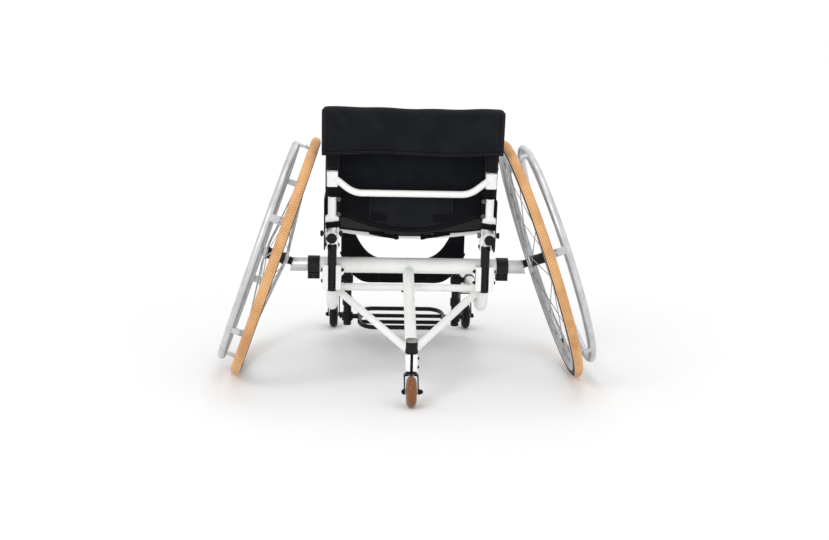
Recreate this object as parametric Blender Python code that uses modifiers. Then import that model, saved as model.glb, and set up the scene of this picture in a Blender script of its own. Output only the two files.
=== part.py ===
"""Adjustable multi-sport wheelchair with cambered wheels, as an assembly of named pieces.

Metres, +Z up, +Y forwards, +X to the chair's right. Every place is worked out in the
chair's own frame, where the main axle line lies at Y = 0 and the floor at Z = 0. The
empty "wheelchair" then shifts the whole chair so that its box is centred on the origin.
"""

import bmesh
import bpy
from math import cos, pi, radians, sin, tan
from mathutils import Matrix, Vector

# General clearances
GAP = 0.0003
SLIDE = 0.0004
TUBE_SIDES = 12

# Half the frame's width, rail centre to rail centre. The sizes across the chair follow it
FRAME_HALF = 0.186

# Main wheels
TYRE_RADIUS = 0.3045
TYRE_SECTION = 0.012
CAMBER = radians(19)
TYRE_CLEARANCE = 0.007842
WHEEL_STEPS = 48
RIM_WIDTH = 0.023
RIM_DEPTH = 0.0165
RIM_LIP = 0.0017
HUB_LENGTH = 0.064
HUB_RADIUS = 0.014
FLANGE_RADIUS = 0.027
FLANGE_THICKNESS = 0.004
SPOKE_COUNT = 24
SPOKE_RADIUS = 0.0009
SPOKE_LEAN = radians(60)
HANDRIM_RADIUS = 0.270
HANDRIM_TUBE = 0.010
HANDRIM_OFFSET = 0.043
TAB_COUNT = 6
TAB_WIDTH = 0.020
TAB_THICKNESS = 0.005

# Quick-release axles
AXLE_RADIUS = 0.00635
AXLE_HEAD_RADIUS = 0.0095
AXLE_HEAD_LENGTH = 0.006
AXLE_GRIP = 0.022
BUTTON_RADIUS = 0.004
BUTTON_TRAVEL = 0.003
BUTTON_PROUD = 0.0035
BUTTON_LENGTH = 0.0055

# Camber tube and the telescoping inserts in its ends
CAMBER_TUBE_RADIUS = 0.0193
CAMBER_TUBE_OUT = 0.0592
CAMBER_TUBE_Z = 0.2677
INSERT_RADIUS = 0.0165
INSERT_LEAST_HELD = 0.0465
INSERT_IN = 0.006
INSERT_OUT = 0.015
HUB_STANDOFF = 0.012
CLAMP_WIDTH = 0.029
CLAMP_WALL = 0.003
CLAMP_BLOCK = 0.022
CLAMP_DROP = 0.0335
SPLIT = 0.003

# Lower frame
RAIL_RADIUS = 0.014
RAIL_Z = 0.160
RAIL_BEND = 0.045
CROSS_TUBE_RADIUS = 0.009
CROSS_TUBE_Z = 0.2126
MAST_RADIUS = 0.0135
BRACE_RADIUS = 0.009
BRACE_IN = 0.008
BRACE_Y = 0.006
BRACE_Z = 0.208
BRACE_MEETS_MAST = 0.93

# Front casters
CASTER_OUT = 0.002
CASTER_CONTACT_Y = 0.4586
CASTER_TRAIL = 0.030
CASTER_RADIUS = 0.036
CASTER_WIDTH = 0.024
CASTER_STEPS = 24
HOUSING_RADIUS = 0.0165
HOUSING_BOTTOM = 0.099
HOUSING_HEIGHT = 0.075
STEM_RADIUS = 0.006
CROWN_THICKNESS = 0.007
FORK_PLATE = 0.003
FORK_CLEARANCE = 0.002
FORK_WIDTH = 0.016
FORK_BOLT_RADIUS = 0.004
NUT_RADIUS = 0.0065
NUT_LENGTH = 0.006

# Rear anti-tip wheel
ANTITIP_STEM_Y = -0.270
ANTITIP_TRAIL = 0.030
ANTITIP_RADIUS = 0.035
ANTITIP_WIDTH = 0.024
BEARING_CAP_RADIUS = 0.015
BEARING_CAP_HEIGHT = 0.033
BEARING_TUBE_RADIUS = 0.0105
BEARING_FLANGE_RADIUS = 0.013
BEARING_FLANGE_HEIGHT = 0.0055
ANTITIP_CLAMP_RADIUS = 0.0137
ANTITIP_CLAMP_BOTTOM = 0.0755
ANTITIP_CLAMP_HEIGHT = 0.042
ANTITIP_EAR = 0.017
ANTITIP_SPLIT = 0.0065
ANTITIP_STEM_RADIUS = 0.005

# Rear seat-height struts and their clamps
STRUT_RADIUS = 0.011
STRUT_Y = -0.033
STRUT_BOTTOM = 0.2094
STRUT_CLAMP_HALF = 0.0225
STRUT_CLAMP_BOTTOM = 0.214
STRUT_CLAMP_HEIGHT = 0.060
STRUT_CLAMP_BACK = 0.0118
STRUT_SLOT = 0.019
SEAT_UP = 0.040

# Seat frame
SEAT_TUBE_RADIUS = 0.0125
SEAT_REAR_Y = -0.117
SEAT_REAR_Z = 0.3527
SEAT_BEND_Y = 0.060
SEAT_FRONT_IN = 0.036
SEAT_FRONT_Y = 0.378
SEAT_SLOPE = radians(5)
SEAT_CAP_LENGTH = 0.003
SEAT_CAP_PLUG = 0.008
LUG_THICKNESS = 0.003
LUG_WIDTH = 0.020
LUG_DROP = 0.048
SEAT_BAR_RADIUS = 0.008
SEAT_BAR_SAG = 0.017
SEAT_BAR_LOW = 0.003
SLING_THICKNESS = 0.0025
SLING_REAR_Y = -0.045
SLING_FRONT_Y = 0.335
SLING_SAG = 0.004
SLING_WRAP = radians(140)
SLING_LEAVE = radians(35)
SLING_COLUMNS = 22
SLING_WRAP_COLUMNS = 4

# Front seat legs, footrest and calf strap
LEG_IN = 0.037
LEG_Y = 0.360
LEG_BELOW_CLAMP = 0.007
LEG_COLLAR_WALL = 0.003
STOP_GAP = 0.001
LEG_CLAMP_HEIGHT = 0.022
LEG_CLAMP_WALL = 0.0042
LEG_CLAMP_ARM = 0.014
FOOT_CLAMP_Z = 0.0539
FOOT_CLAMP_HEIGHT = 0.0225
FOOT_UP = 0.020
FOOT_DOWN = 0.006
FOOTPLATE_IN = 0.034
FOOTPLATE_NEAR_Y = 0.280
FOOTPLATE_DEPTH = 0.140
FOOTPLATE_TILT = 0.1436
FOOTPLATE_TUBE = 0.006
FOOTPLATE_CORNER = 0.040
FOOTPLATE_BARS = (0.28, 0.61)
CALF_THICKNESS = 0.003
CALF_Y = 0.3408
CALF_IN = 0.018
CALF_BOTTOM = 0.155
CALF_BAND = 0.062
CALF_TOP = 0.350
CALF_LOOP_Z = 0.290
CALF_LOOP_HEIGHT = 0.040

# Side guards
GUARD_OUT = 0.0183
GUARD_THICKNESS = 0.002
GUARD_BEHIND_PIVOT = -0.005
GUARD_FRONT_Y = 0.205
GUARD_BOTTOM = 0.3122
GUARD_TOP = 0.4434
GUARD_STUD_RADIUS = 0.005
GUARD_STUD_STEP = 0.100
# Its outline from the rear foot round the front, as shares of its length and height
GUARD_SHAPE = (
    (0, 0), (0.796, 0.046), (0.967, 0.168), (1, 0.32), (0.952, 0.503), (0.796, 0.741),
    (0.611, 0.909), (0.426, 0.985), (0.278, 1), (-0.081, 1))

# Backrest
PIVOT_Y = -0.070
PIVOT_RADIUS = 0.004
KNOB_RADIUS = 0.0065
KNOB_LENGTH = 0.0075
POST_RADIUS = 0.010
POST_COLLAR = 0.012
RECLINE = radians(9)
POST_FOOT = 0.0295
POST_FOOT_BACK = 0.0175
POST_LENGTH = 0.262
POST_PLATE = 0.003
RIGIDIZER_RADIUS = 0.008
RIGIDIZER_UP = 0.109
RIGIDIZER_DROP = 0.0315
RIGIDIZER_IN = 0.050
RIGIDIZER_BEND = 0.030
RIGIDIZER_BOW = 0.014
RIGIDIZER_BLOCK = 0.026
RIGIDIZER_BLOCK_HEIGHT = 0.037
BACK_OUT = 0.0166
BACK_THICKNESS = 0.005
BACK_SAG = 0.016
BACK_HEM_DIP = 0.020
BACK_CORNER_UP = 0.010
BACK_SLEEVE_UP = 0.134
BACK_SLEEVE_WALL = 0.0065
FLAP_OUT = 0.0227
FLAP_THICKNESS = 0.004
FLAP_TOP = 0.013
FLAP_DROP = 0.101
FLAP_FRONT_DROP = 0.060
FLAP_WAVE = 0.0025

# Worked out from the sizes above
CAMBER_TUBE_LENGTH = 2 * (FRAME_HALF + CAMBER_TUBE_OUT)
BRACE_START = Vector((FRAME_HALF - BRACE_IN, BRACE_Y, BRACE_Z))
CASTER_HALF = FRAME_HALF + CASTER_OUT
SEAT_REAR = Vector((FRAME_HALF, SEAT_REAR_Y, SEAT_REAR_Z))
SEAT_FRONT_HALF = FRAME_HALF - SEAT_FRONT_IN
LEG_HALF = FRAME_HALF - LEG_IN
FOOTPLATE_HALF = LEG_HALF - FOOTPLATE_IN
CALF_HALF = FRAME_HALF - CALF_IN
GUARD_X = FRAME_HALF + GUARD_OUT
RIGIDIZER_RUN = 2 * (FRAME_HALF - RIGIDIZER_IN)
BACK_HALF = FRAME_HALF + BACK_OUT
FLAP_HALF = FRAME_HALF + FLAP_OUT
TYRE_LINE = TYRE_RADIUS - TYRE_SECTION
TRACK = 2 * (FLAP_HALF + TYRE_CLEARANCE + TYRE_SECTION + 2 * TYRE_LINE * sin(CAMBER))
WHEEL_Z = TYRE_LINE * cos(CAMBER) + TYRE_SECTION
WHEEL_X = TRACK / 2 - TYRE_LINE * sin(CAMBER)
CASTER_SWIVEL_Y = CASTER_CONTACT_Y + CASTER_TRAIL
ANTITIP_WHEEL_Y = ANTITIP_STEM_Y - ANTITIP_TRAIL
FRONT_REACH = CASTER_SWIVEL_Y + HOUSING_RADIUS
REAR_REACH = ANTITIP_RADIUS - ANTITIP_WHEEL_Y
AXLE_Y = (REAR_REACH - FRONT_REACH) / 2
CAMBER_TUBE_END = CAMBER_TUBE_LENGTH / 2
INSERT_HELD = INSERT_LEAST_HELD + INSERT_OUT
LEG_COLLAR_LOW = FOOT_CLAMP_Z + FOOT_CLAMP_HEIGHT / 2 + FOOT_UP + STOP_GAP
LEG_COLLAR_HIGH = RAIL_Z - LEG_CLAMP_HEIGHT / 2 - SEAT_UP - STOP_GAP
LEG_BOTTOM = FOOT_CLAMP_Z - FOOT_CLAMP_HEIGHT / 2 - FOOT_DOWN - LEG_BELOW_CLAMP
BORE = AXLE_RADIUS + SLIDE


def seat_z(y):
    """Height of the seat side tube's centre line at this depth."""
    return SEAT_REAR.z + (y - SEAT_REAR.y) * tan(SEAT_SLOPE)


def seat_x(y):
    """Half width between the seat side tubes' centre lines at this depth."""
    share = max(0.0, (y - SEAT_BEND_Y) / (SEAT_FRONT_Y - SEAT_BEND_Y))
    return SEAT_REAR.x + (SEAT_FRONT_HALF - SEAT_REAR.x) * share


PIVOT = Vector((0.0, PIVOT_Y, seat_z(PIVOT_Y)))
POST_UP = Vector((0.0, -sin(RECLINE), cos(RECLINE)))
POST_FORWARD = Vector((0.0, cos(RECLINE), sin(RECLINE)))
POST_START = PIVOT + Vector((0.0, -POST_FOOT_BACK, POST_FOOT))
BACK_OFFSET = RIGIDIZER_BLOCK / 2 + GAP


# Scene, materials and empties

for old in list(bpy.data.objects):
    bpy.data.objects.remove(old)

scene = bpy.context.scene
CHAIR = bpy.data.collections.new("wheelchair")
CUTTERS = bpy.data.collections.new("cutters")
scene.collection.children.link(CHAIR)
scene.collection.children.link(CUTTERS)


def material(name, colour, roughness, metallic=0.0):
    """A plain Principled material."""
    made = bpy.data.materials.new(name)
    made.use_nodes = True
    shader = made.node_tree.nodes["Principled BSDF"]
    shader.inputs["Base Color"].default_value = (*colour, 1.0)
    shader.inputs["Roughness"].default_value = roughness
    shader.inputs["Metallic"].default_value = metallic
    return made


WHITE_PAINT = material("white_paint", (0.80, 0.83, 0.80), 0.35)
BLACK_PAINT = material("black_paint", (0.02, 0.02, 0.023), 0.45)
SILVER = material("polished_aluminium", (0.70, 0.71, 0.73), 0.28, 1.0)
STEEL = material("stainless_steel", (0.62, 0.62, 0.63), 0.25, 1.0)
BLACK_PLASTIC = material("black_plastic", (0.016, 0.016, 0.018), 0.5)
TAN_RUBBER = material("tan_rubber", (0.68, 0.39, 0.18), 0.75)
BLACK_RUBBER = material("black_rubber", (0.02, 0.02, 0.02), 0.6)
BROWN_WHEEL = material("brown_urethane", (0.26, 0.11, 0.05), 0.35)
BLACK_FABRIC = material("black_fabric", (0.012, 0.012, 0.014), 0.9)


def empty(name, place, parent=None):
    """An empty at a place in the chair's frame."""
    made = bpy.data.objects.new(name, None)
    made.empty_display_size = 0.03
    CHAIR.objects.link(made)
    made["place"] = place[:]
    if parent is None:
        made.location = place
    else:
        made.parent = parent
        made.location = Vector(place) - Vector(parent["place"]) * (parent is not ROOT)
    return made


ROOT = None
ROOT = empty("wheelchair", (0.0, AXLE_Y, 0.0))


def hang(obj, body):
    """Parents an object that is modelled in the chair's frame to a body's empty."""
    obj.parent = body
    if body is not ROOT:
        obj.matrix_parent_inverse = Matrix.Translation(-Vector(body["place"]))


# Shapes. Each starts as a helper in the cutters' collection.

def helper(mesh):
    """An object for a mesh, kept out of renders until it becomes a piece."""
    obj = bpy.data.objects.new("helper", mesh)
    CUTTERS.objects.link(obj)
    obj.hide_render = True
    obj.display_type = "WIRE"
    hang(obj, ROOT)
    return obj


def from_bmesh(shape):
    """A helper from a bmesh."""
    mesh = bpy.data.meshes.new("shape")
    shape.to_mesh(mesh)
    shape.free()
    return helper(mesh)


def along(start, end):
    """Rotation and place that lay a Z-long shape between two points."""
    start, end = Vector(start), Vector(end)
    turn = (end - start).to_track_quat("Z", "Y").to_matrix().to_4x4()
    return Matrix.Translation((start + end) / 2) @ turn


def rod(start, end, radius, end_radius=None, sides=TUBE_SIDES):
    """A round bar or cone between two points."""
    shape = bmesh.new()
    bmesh.ops.create_cone(
        shape, cap_ends=True, cap_tris=False, segments=sides, radius1=radius,
        radius2=radius if end_radius is None else end_radius,
        depth=(Vector(end) - Vector(start)).length, matrix=along(start, end))
    return from_bmesh(shape)


def block(low, high):
    """A box between two corners."""
    low, high = Vector(low), Vector(high)
    shape = bmesh.new()
    size = Matrix.Diagonal((*(high - low), 1.0))
    bmesh.ops.create_cube(shape, size=1.0, matrix=Matrix.Translation((low + high) / 2) @ size)
    return from_bmesh(shape)


def frame_of(origin, axis, side):
    """A matrix with local Z along an axis and local X along a side direction."""
    z = Vector(axis).normalized()
    x = Vector(side).normalized()
    y = z.cross(x)
    return Matrix.Translation(origin) @ Matrix((x, y, z)).transposed().to_4x4()


def turned(profile, steps, place, closed=True):
    """A turned shape: (radius, height) points, down the outer side, spun about local Z."""
    mesh = bpy.data.meshes.new("profile")
    edges = [(i, i + 1) for i in range(len(profile) - 1)]
    if closed:
        edges.append((len(profile) - 1, 0))
    mesh.from_pydata([(radius, 0.0, height) for radius, height in profile], edges, [])
    obj = helper(mesh)
    obj.matrix_basis = place
    screw = obj.modifiers.new("Screw", "SCREW")
    screw.steps = screw.render_steps = steps
    screw.use_merge_vertices = True
    screw.merge_threshold = 0.00001
    screw.use_smooth_shade = True
    return obj


def as_mesh(obj):
    """The evaluated mesh of a helper curve, its caps welded on, in the same place."""
    bpy.context.view_layer.update()
    graph = bpy.context.evaluated_depsgraph_get()
    mesh = bpy.data.meshes.new_from_object(obj.evaluated_get(graph))
    shape = bmesh.new()
    shape.from_mesh(mesh)
    bmesh.ops.remove_doubles(shape, verts=shape.verts, dist=0.000005)
    bmesh.ops.recalc_face_normals(shape, faces=shape.faces)
    shape.to_mesh(mesh)
    shape.free()
    made = helper(mesh)
    made.matrix_basis = obj.matrix_basis.copy()
    bpy.data.objects.remove(obj)
    return made


def pipe(points, radius, resolution=4, closed=False):
    """A tube along a line of points."""
    curve = bpy.data.curves.new("pipe", "CURVE")
    curve.dimensions = "3D"
    curve.bevel_depth = radius
    curve.bevel_resolution = resolution
    curve.use_fill_caps = True
    line = curve.splines.new("POLY")
    line.points.add(len(points) - 1)
    for point, place in zip(line.points, points):
        point.co = (*place, 1.0)
    line.use_cyclic_u = closed
    return as_mesh(helper(curve))


def plate(outline, thickness, place):
    """A flat plate with a straight or curved outline, centred on its local XY plane."""
    curve = bpy.data.curves.new("outline", "CURVE")
    curve.dimensions = "2D"
    curve.fill_mode = "BOTH"
    curve.extrude = thickness / 2
    line = curve.splines.new("POLY")
    line.points.add(len(outline) - 1)
    for point, place_2d in zip(line.points, outline):
        point.co = (place_2d[0], place_2d[1], 0.0, 1.0)
    line.use_cyclic_u = True
    obj = helper(curve)
    obj.matrix_basis = place
    return as_mesh(obj)


def sheet(place_of, columns, rows, thickness):
    """A thin solid from a grid whose points follow a rule, given shares from 0 to 1."""
    shape = bmesh.new()
    bmesh.ops.create_grid(shape, x_segments=columns, y_segments=rows, size=0.5)
    for vert in shape.verts:
        vert.co = place_of(vert.co.x + 0.5, vert.co.y + 0.5)
    obj = from_bmesh(shape)
    thick = obj.modifiers.new("Solidify", "SOLIDIFY")
    thick.thickness = thickness
    thick.offset = 0.0
    return obj


def fillet(corner, before, after, radius, steps=4):
    """Points of an arc that rounds one corner of a line."""
    corner = Vector(corner)
    to_before = (Vector(before) - corner).normalized()
    to_after = (Vector(after) - corner).normalized()
    half = to_before.angle(to_after) / 2
    middle = (to_before + to_after).normalized()
    centre = corner + middle * (radius / sin(half))
    start = (corner + to_before * (radius / tan(half)) - centre).normalized()
    end = (corner + to_after * (radius / tan(half)) - centre).normalized()
    return [centre + start.slerp(end, i / steps) * radius for i in range(steps + 1)]


def mirrored(point, side):
    """A point given for the right side, on the side asked for."""
    return Vector((point[0] * side, point[1], point[2]))


def piece(name, base, look, body=None, joined=(), cuts=()):
    """Makes a helper into a named piece, with what is joined to it and cut from it."""
    base.name = name
    base.data.name = name
    CUTTERS.objects.unlink(base)
    CHAIR.objects.link(base)
    base.hide_render = False
    base.display_type = "TEXTURED"
    hang(base, body or ROOT)
    for kind, tools in (("UNION", joined), ("DIFFERENCE", cuts)):
        for tool in tools:
            change = base.modifiers.new(kind.title(), "BOOLEAN")
            change.operation = kind
            change.solver = "EXACT"
            change.object = tool
    base.data.materials.append(look)
    base.data.shade_smooth()
    base.data.set_sharp_from_angle(angle=radians(40))
    return base


# Main wheels, their axles and the inserts that carry them

def wheel_place(side, phase=0.0):
    """Local Z outwards along one wheel's axle, local X to its lowest point."""
    axle = Vector((side * cos(CAMBER), 0.0, sin(CAMBER)))
    down = Vector((side * sin(CAMBER), 0.0, -cos(CAMBER)))
    place = frame_of((side * WHEEL_X, 0.0, WHEEL_Z), axle, down)
    return place @ Matrix.Rotation(phase, 4, "Z")


def tangent(points, steps):
    """A turned profile whose facets, not its corners, lie on the true radius."""
    return [(radius / cos(pi / steps), height) for radius, height in points]


def tyre(side, name, body):
    """Solid section tyre, with one corner of the section where it meets the floor."""
    corners = [-CAMBER - i * pi / 4 for i in range(8)]
    profile = [(TYRE_LINE + TYRE_SECTION * cos(a), TYRE_SECTION * sin(a)) for a in corners]
    spun = turned(tangent(profile, WHEEL_STEPS), WHEEL_STEPS, wheel_place(side, pi / WHEEL_STEPS))
    piece("tyre_" + name, spun, TAN_RUBBER, body)


def rim(side, name, body):
    """Box rim with a bed for the tyre between two lips."""
    half = RIM_WIDTH / 2
    bed = TYRE_LINE - TYRE_SECTION - GAP
    lip = bed + 0.005
    bottom = bed - (RIM_DEPTH - 0.005)
    profile = [
        (lip, half), (bottom + 0.006, half), (bottom, half - 0.005), (bottom, 0.005 - half),
        (bottom + 0.006, -half), (lip, -half), (lip, RIM_LIP - half), (bed, 0.004 - half),
        (bed, half - 0.004), (lip, half - RIM_LIP)]
    profile.reverse()
    spun = turned(tangent(profile, WHEEL_STEPS), WHEEL_STEPS, wheel_place(side, pi / WHEEL_STEPS))
    piece("rim_" + name, spun, SILVER, body)
    return bottom


def hub(side, name, body, rim_bottom):
    """Hub barrel with two flanges, and the crossed spokes that are laced to them."""
    end = HUB_LENGTH / 2
    flange = end - 0.004
    inner = flange - FLANGE_THICKNESS
    shoulder = (BORE + 0.0045)
    profile = [
        (BORE / cos(pi / 16), end), (shoulder, end), (shoulder, flange),
        (FLANGE_RADIUS, flange), (FLANGE_RADIUS, inner), (HUB_RADIUS, inner - 0.004),
        (HUB_RADIUS, 0.004 - inner), (FLANGE_RADIUS, -inner), (FLANGE_RADIUS, -flange),
        (shoulder, -flange), (shoulder, -end), (BORE / cos(pi / 16), -end)]
    place = wheel_place(side)
    barrel = turned(profile, 16, place)
    spokes = bmesh.new()
    reach = rim_bottom - GAP - 0.0003
    per_flange = SPOKE_COUNT // 2
    for i in range(SPOKE_COUNT):
        outboard = 1 if i % 2 else -1
        turn = (i // 2) * 2 * pi / per_flange + (pi / per_flange) * (outboard > 0)
        lean = 1 if (i // 2) % 2 else -1
        middle = flange - FLANGE_THICKNESS / 2
        root_z = outboard * middle + lean * FLANGE_THICKNESS * 0.4
        root_radius = FLANGE_RADIUS - 0.004
        start = Vector((root_radius * cos(turn), root_radius * sin(turn), root_z))
        tip = turn + lean * SPOKE_LEAN
        end_point = Vector((reach * cos(tip), reach * sin(tip), outboard * 0.0015))
        bmesh.ops.create_cone(
            spokes, cap_ends=True, segments=5, radius1=SPOKE_RADIUS, radius2=SPOKE_RADIUS,
            depth=(end_point - start).length, matrix=place @ along(start, end_point))
    piece("hub_" + name, barrel, SILVER, body, joined=[from_bmesh(spokes)])


def handrim(side, name, body, rim_bottom):
    """Push rim with the flat tabs that carry it off the wheel rim."""
    corners = [-i * pi / 4 for i in range(8)]
    profile = [
        (HANDRIM_RADIUS + HANDRIM_TUBE * cos(a), HANDRIM_OFFSET + HANDRIM_TUBE * sin(a))
        for a in corners]
    place = wheel_place(side, pi / WHEEL_STEPS)
    ring = turned(tangent(profile, WHEEL_STEPS), WHEEL_STEPS, place)
    tabs = []
    middle = rim_bottom + 0.0085
    for i in range(TAB_COUNT):
        tab = block(
            (middle - TAB_THICKNESS / 2, -TAB_WIDTH / 2, RIM_WIDTH / 2 + GAP),
            (middle + TAB_THICKNESS / 2, TAB_WIDTH / 2, HANDRIM_OFFSET))
        tab.matrix_basis = wheel_place(side, (i + 0.5) * 2 * pi / TAB_COUNT)
        tabs.append(tab)
    piece("handrim_" + name, ring, SILVER, body, joined=tabs)


def axle_point(side, out, spread=0.0):
    """A point on one wheel's axle, this far outboard of the wheel's middle."""
    return wheel_place(side) @ Vector((spread, 0.0, out))


def axle_and_insert(side, name, slide_body, button_body):
    """Telescoping insert with its angled socket, the quick-release axle and its button."""
    hub_end = HUB_LENGTH / 2
    face = hub_end + HUB_STANDOFF
    tail = face + AXLE_GRIP
    axis = [axle_point(side, 0.0), axle_point(side, 1.0)]
    outward = (axis[1] - axis[0]).normalized()

    insert = rod(
        (side * (CAMBER_TUBE_END - INSERT_HELD), 0, CAMBER_TUBE_Z),
        (side * (WHEEL_X + HUB_LENGTH), 0, CAMBER_TUBE_Z), INSERT_RADIUS, sides=16)
    socket = rod(axle_point(side, -tail - GAP), axle_point(side, 0.0), BORE / cos(pi / 16), sides=16)
    trim = block((-0.1, -0.1, -face), (0.1, 0.1, 0.1))
    trim.matrix_basis = wheel_place(side)
    piece("axle_insert_" + name, insert, SILVER, slide_body, cuts=[trim, socket])

    head = hub_end + GAP
    head_end = head + AXLE_HEAD_LENGTH
    pin = rod(axle_point(side, -tail), axle_point(side, head + 0.001), AXLE_RADIUS, sides=16)
    cap = rod(axle_point(side, head), axle_point(side, head_end), AXLE_HEAD_RADIUS, sides=16)
    floor = head_end + BUTTON_PROUD - BUTTON_LENGTH - BUTTON_TRAVEL - GAP
    hole = rod(
        axle_point(side, floor), axle_point(side, head_end + 0.01),
        (BUTTON_RADIUS + SLIDE) / cos(pi / TUBE_SIDES))
    piece("axle_" + name, pin, STEEL, slide_body, joined=[cap], cuts=[hole])
    button_top = axle_point(side, head_end + BUTTON_PROUD)
    button = rod(button_top - outward * BUTTON_LENGTH, button_top, BUTTON_RADIUS)
    piece("axle_button_" + name, button, STEEL, button_body)


def track_clamp(side, name):
    """Split collar that squeezes the end of the camber tube onto the insert."""
    outer = CAMBER_TUBE_RADIUS + CLAMP_WALL
    far = CAMBER_TUBE_END + GAP
    near = far - CLAMP_WIDTH
    centre = [(side * x, 0, CAMBER_TUBE_Z) for x in (near, far)]
    low_x, high_x = sorted((side * near, side * far))
    ring = rod(*centre, outer)
    pinch = block(
        (low_x, -CLAMP_BLOCK / 2, CAMBER_TUBE_Z - CLAMP_DROP),
        (high_x, CLAMP_BLOCK / 2, CAMBER_TUBE_Z - CAMBER_TUBE_RADIUS))
    bore = rod((centre[0][0] - side * 0.01, 0, CAMBER_TUBE_Z),
               (centre[1][0] + side * 0.01, 0, CAMBER_TUBE_Z), CAMBER_TUBE_RADIUS + GAP)
    split = block(
        (low_x - 0.01, -SPLIT / 2, CAMBER_TUBE_Z - CLAMP_DROP - 0.01),
        (high_x + 0.01, SPLIT / 2, CAMBER_TUBE_Z))
    bolt_z = CAMBER_TUBE_Z - CLAMP_DROP + 0.006
    bolts = [
        rod((side * x, -CLAMP_BLOCK / 2 - 0.003, bolt_z), (side * x, -CLAMP_BLOCK / 2 + 0.003, bolt_z),
            0.0028, sides=8)
        for x in (near + CLAMP_WIDTH * 0.25, near + CLAMP_WIDTH * 0.75)]
    piece("track_clamp_" + name, ring, BLACK_PAINT, joined=[pinch, *bolts], cuts=[bore, split])


def camber_tube():
    """Main cross tube, bored at both ends for the inserts."""
    tube = rod((-CAMBER_TUBE_END, 0, CAMBER_TUBE_Z), (CAMBER_TUBE_END, 0, CAMBER_TUBE_Z), CAMBER_TUBE_RADIUS)
    depth = CAMBER_TUBE_END - INSERT_HELD - INSERT_IN - 0.002
    bores = [
        rod((side * depth, 0, CAMBER_TUBE_Z), (side * (CAMBER_TUBE_END + 0.01), 0, CAMBER_TUBE_Z),
            (INSERT_RADIUS + SLIDE) / cos(pi / 16), sides=16)
        for side in (-1, 1)]
    piece("camber_tube", tube, WHITE_PAINT, cuts=bores)


def camber_cutter(extra=GAP):
    """Room for the camber tube in what meets it."""
    return rod((-CAMBER_TUBE_END, 0, CAMBER_TUBE_Z), (CAMBER_TUBE_END, 0, CAMBER_TUBE_Z),
               CAMBER_TUBE_RADIUS + extra)


def main_wheels():
    """Both wheels with everything that carries them."""
    for side, name in ((-1, "left"), (1, "right")):
        slide_body = empty("body_track_" + name, (side * CAMBER_TUBE_END, 0, CAMBER_TUBE_Z), ROOT)
        wheel_body = empty("body_wheel_" + name, (side * WHEEL_X, 0, WHEEL_Z), slide_body)
        button_body = empty("body_button_" + name, axle_point(side, HUB_LENGTH / 2), slide_body)
        tyre(side, name, wheel_body)
        rim_bottom = rim(side, name, wheel_body)
        hub(side, name, wheel_body, rim_bottom)
        handrim(side, name, wheel_body, rim_bottom)
        axle_and_insert(side, name, slide_body, button_body)
        track_clamp(side, name)


# Lower frame

def rail_path():
    """Right-hand rail: down from the camber tube, round a bend and forward."""
    corner = Vector((FRAME_HALF, 0, RAIL_Z))
    top = Vector((FRAME_HALF, 0, CAMBER_TUBE_Z))
    front = Vector((FRAME_HALF, CASTER_SWIVEL_Y, RAIL_Z))
    return [top, *fillet(corner, top, front, RAIL_BEND), front]


def rail_tube(side, radius):
    """The rail as a tube of this radius."""
    return pipe([mirrored(point, side) for point in rail_path()], radius, resolution=4)


def side_rail(side, name):
    """Side rail with the caster housing welded to its front end."""
    top = HOUSING_BOTTOM + HOUSING_HEIGHT
    x = side * CASTER_HALF
    housing = rod((x, CASTER_SWIVEL_Y, HOUSING_BOTTOM), (x, CASTER_SWIVEL_Y, top), HOUSING_RADIUS)
    bore = rod((x, CASTER_SWIVEL_Y, HOUSING_BOTTOM - 0.01), (x, CASTER_SWIVEL_Y, top - 0.006),
               (STEM_RADIUS + SLIDE) / cos(pi / TUBE_SIDES))
    piece("side_rail_" + name, rail_tube(side, RAIL_RADIUS), WHITE_PAINT,
          joined=[housing], cuts=[camber_cutter(), bore])


def cross_tube(radius=CROSS_TUBE_RADIUS):
    """Lower cross tube between the two rails."""
    return rod((-FRAME_HALF, 0, CROSS_TUBE_Z), (FRAME_HALF, 0, CROSS_TUBE_Z), radius)


def mast_line():
    """Start and end of the mast's centre line, camber tube to anti-tip clamp."""
    clamp_middle = ANTITIP_CLAMP_BOTTOM + ANTITIP_CLAMP_HEIGHT * 0.62
    return Vector((0, 0, CAMBER_TUBE_Z)), Vector((0, ANTITIP_STEM_Y, clamp_middle))


def barrel_cutters():
    """Room for the anti-tip clamp's barrel, and for the wider bearing cap above it."""
    low = ANTITIP_CLAMP_BOTTOM - BEARING_CAP_HEIGHT
    top = ANTITIP_CLAMP_BOTTOM + ANTITIP_CLAMP_HEIGHT
    high = top + 2 * BEARING_CAP_HEIGHT
    return [rod((0, ANTITIP_STEM_Y, low), (0, ANTITIP_STEM_Y, high), ANTITIP_CLAMP_RADIUS + GAP),
            rod((0, ANTITIP_STEM_Y, top), (0, ANTITIP_STEM_Y, high),
                (BEARING_CAP_RADIUS + GAP) / cos(pi / TUBE_SIDES))]


def lower_frame():
    """Rails, lower cross tube, mast and braces, each coped to what it meets."""
    for side, name in ((-1, "left"), (1, "right")):
        side_rail(side, name)
    piece("lower_cross_tube", cross_tube(), WHITE_PAINT,
          cuts=[rail_tube(side, RAIL_RADIUS + GAP) for side in (-1, 1)])
    start, end = mast_line()
    piece("anti_tip_mast", rod(start, end, MAST_RADIUS), WHITE_PAINT,
          cuts=[camber_cutter(), *barrel_cutters()])
    meet = start.lerp(end, BRACE_MEETS_MAST)
    for side, name in ((-1, "left"), (1, "right")):
        brace = rod(mirrored(BRACE_START, side), meet, BRACE_RADIUS)
        cuts = [
            rail_tube(side, RAIL_RADIUS + GAP), cross_tube(CROSS_TUBE_RADIUS + GAP),
            rod(start, end, MAST_RADIUS + GAP), *barrel_cutters()]
        piece("anti_tip_brace_" + name, brace, WHITE_PAINT, cuts=cuts)


# Casters

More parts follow.
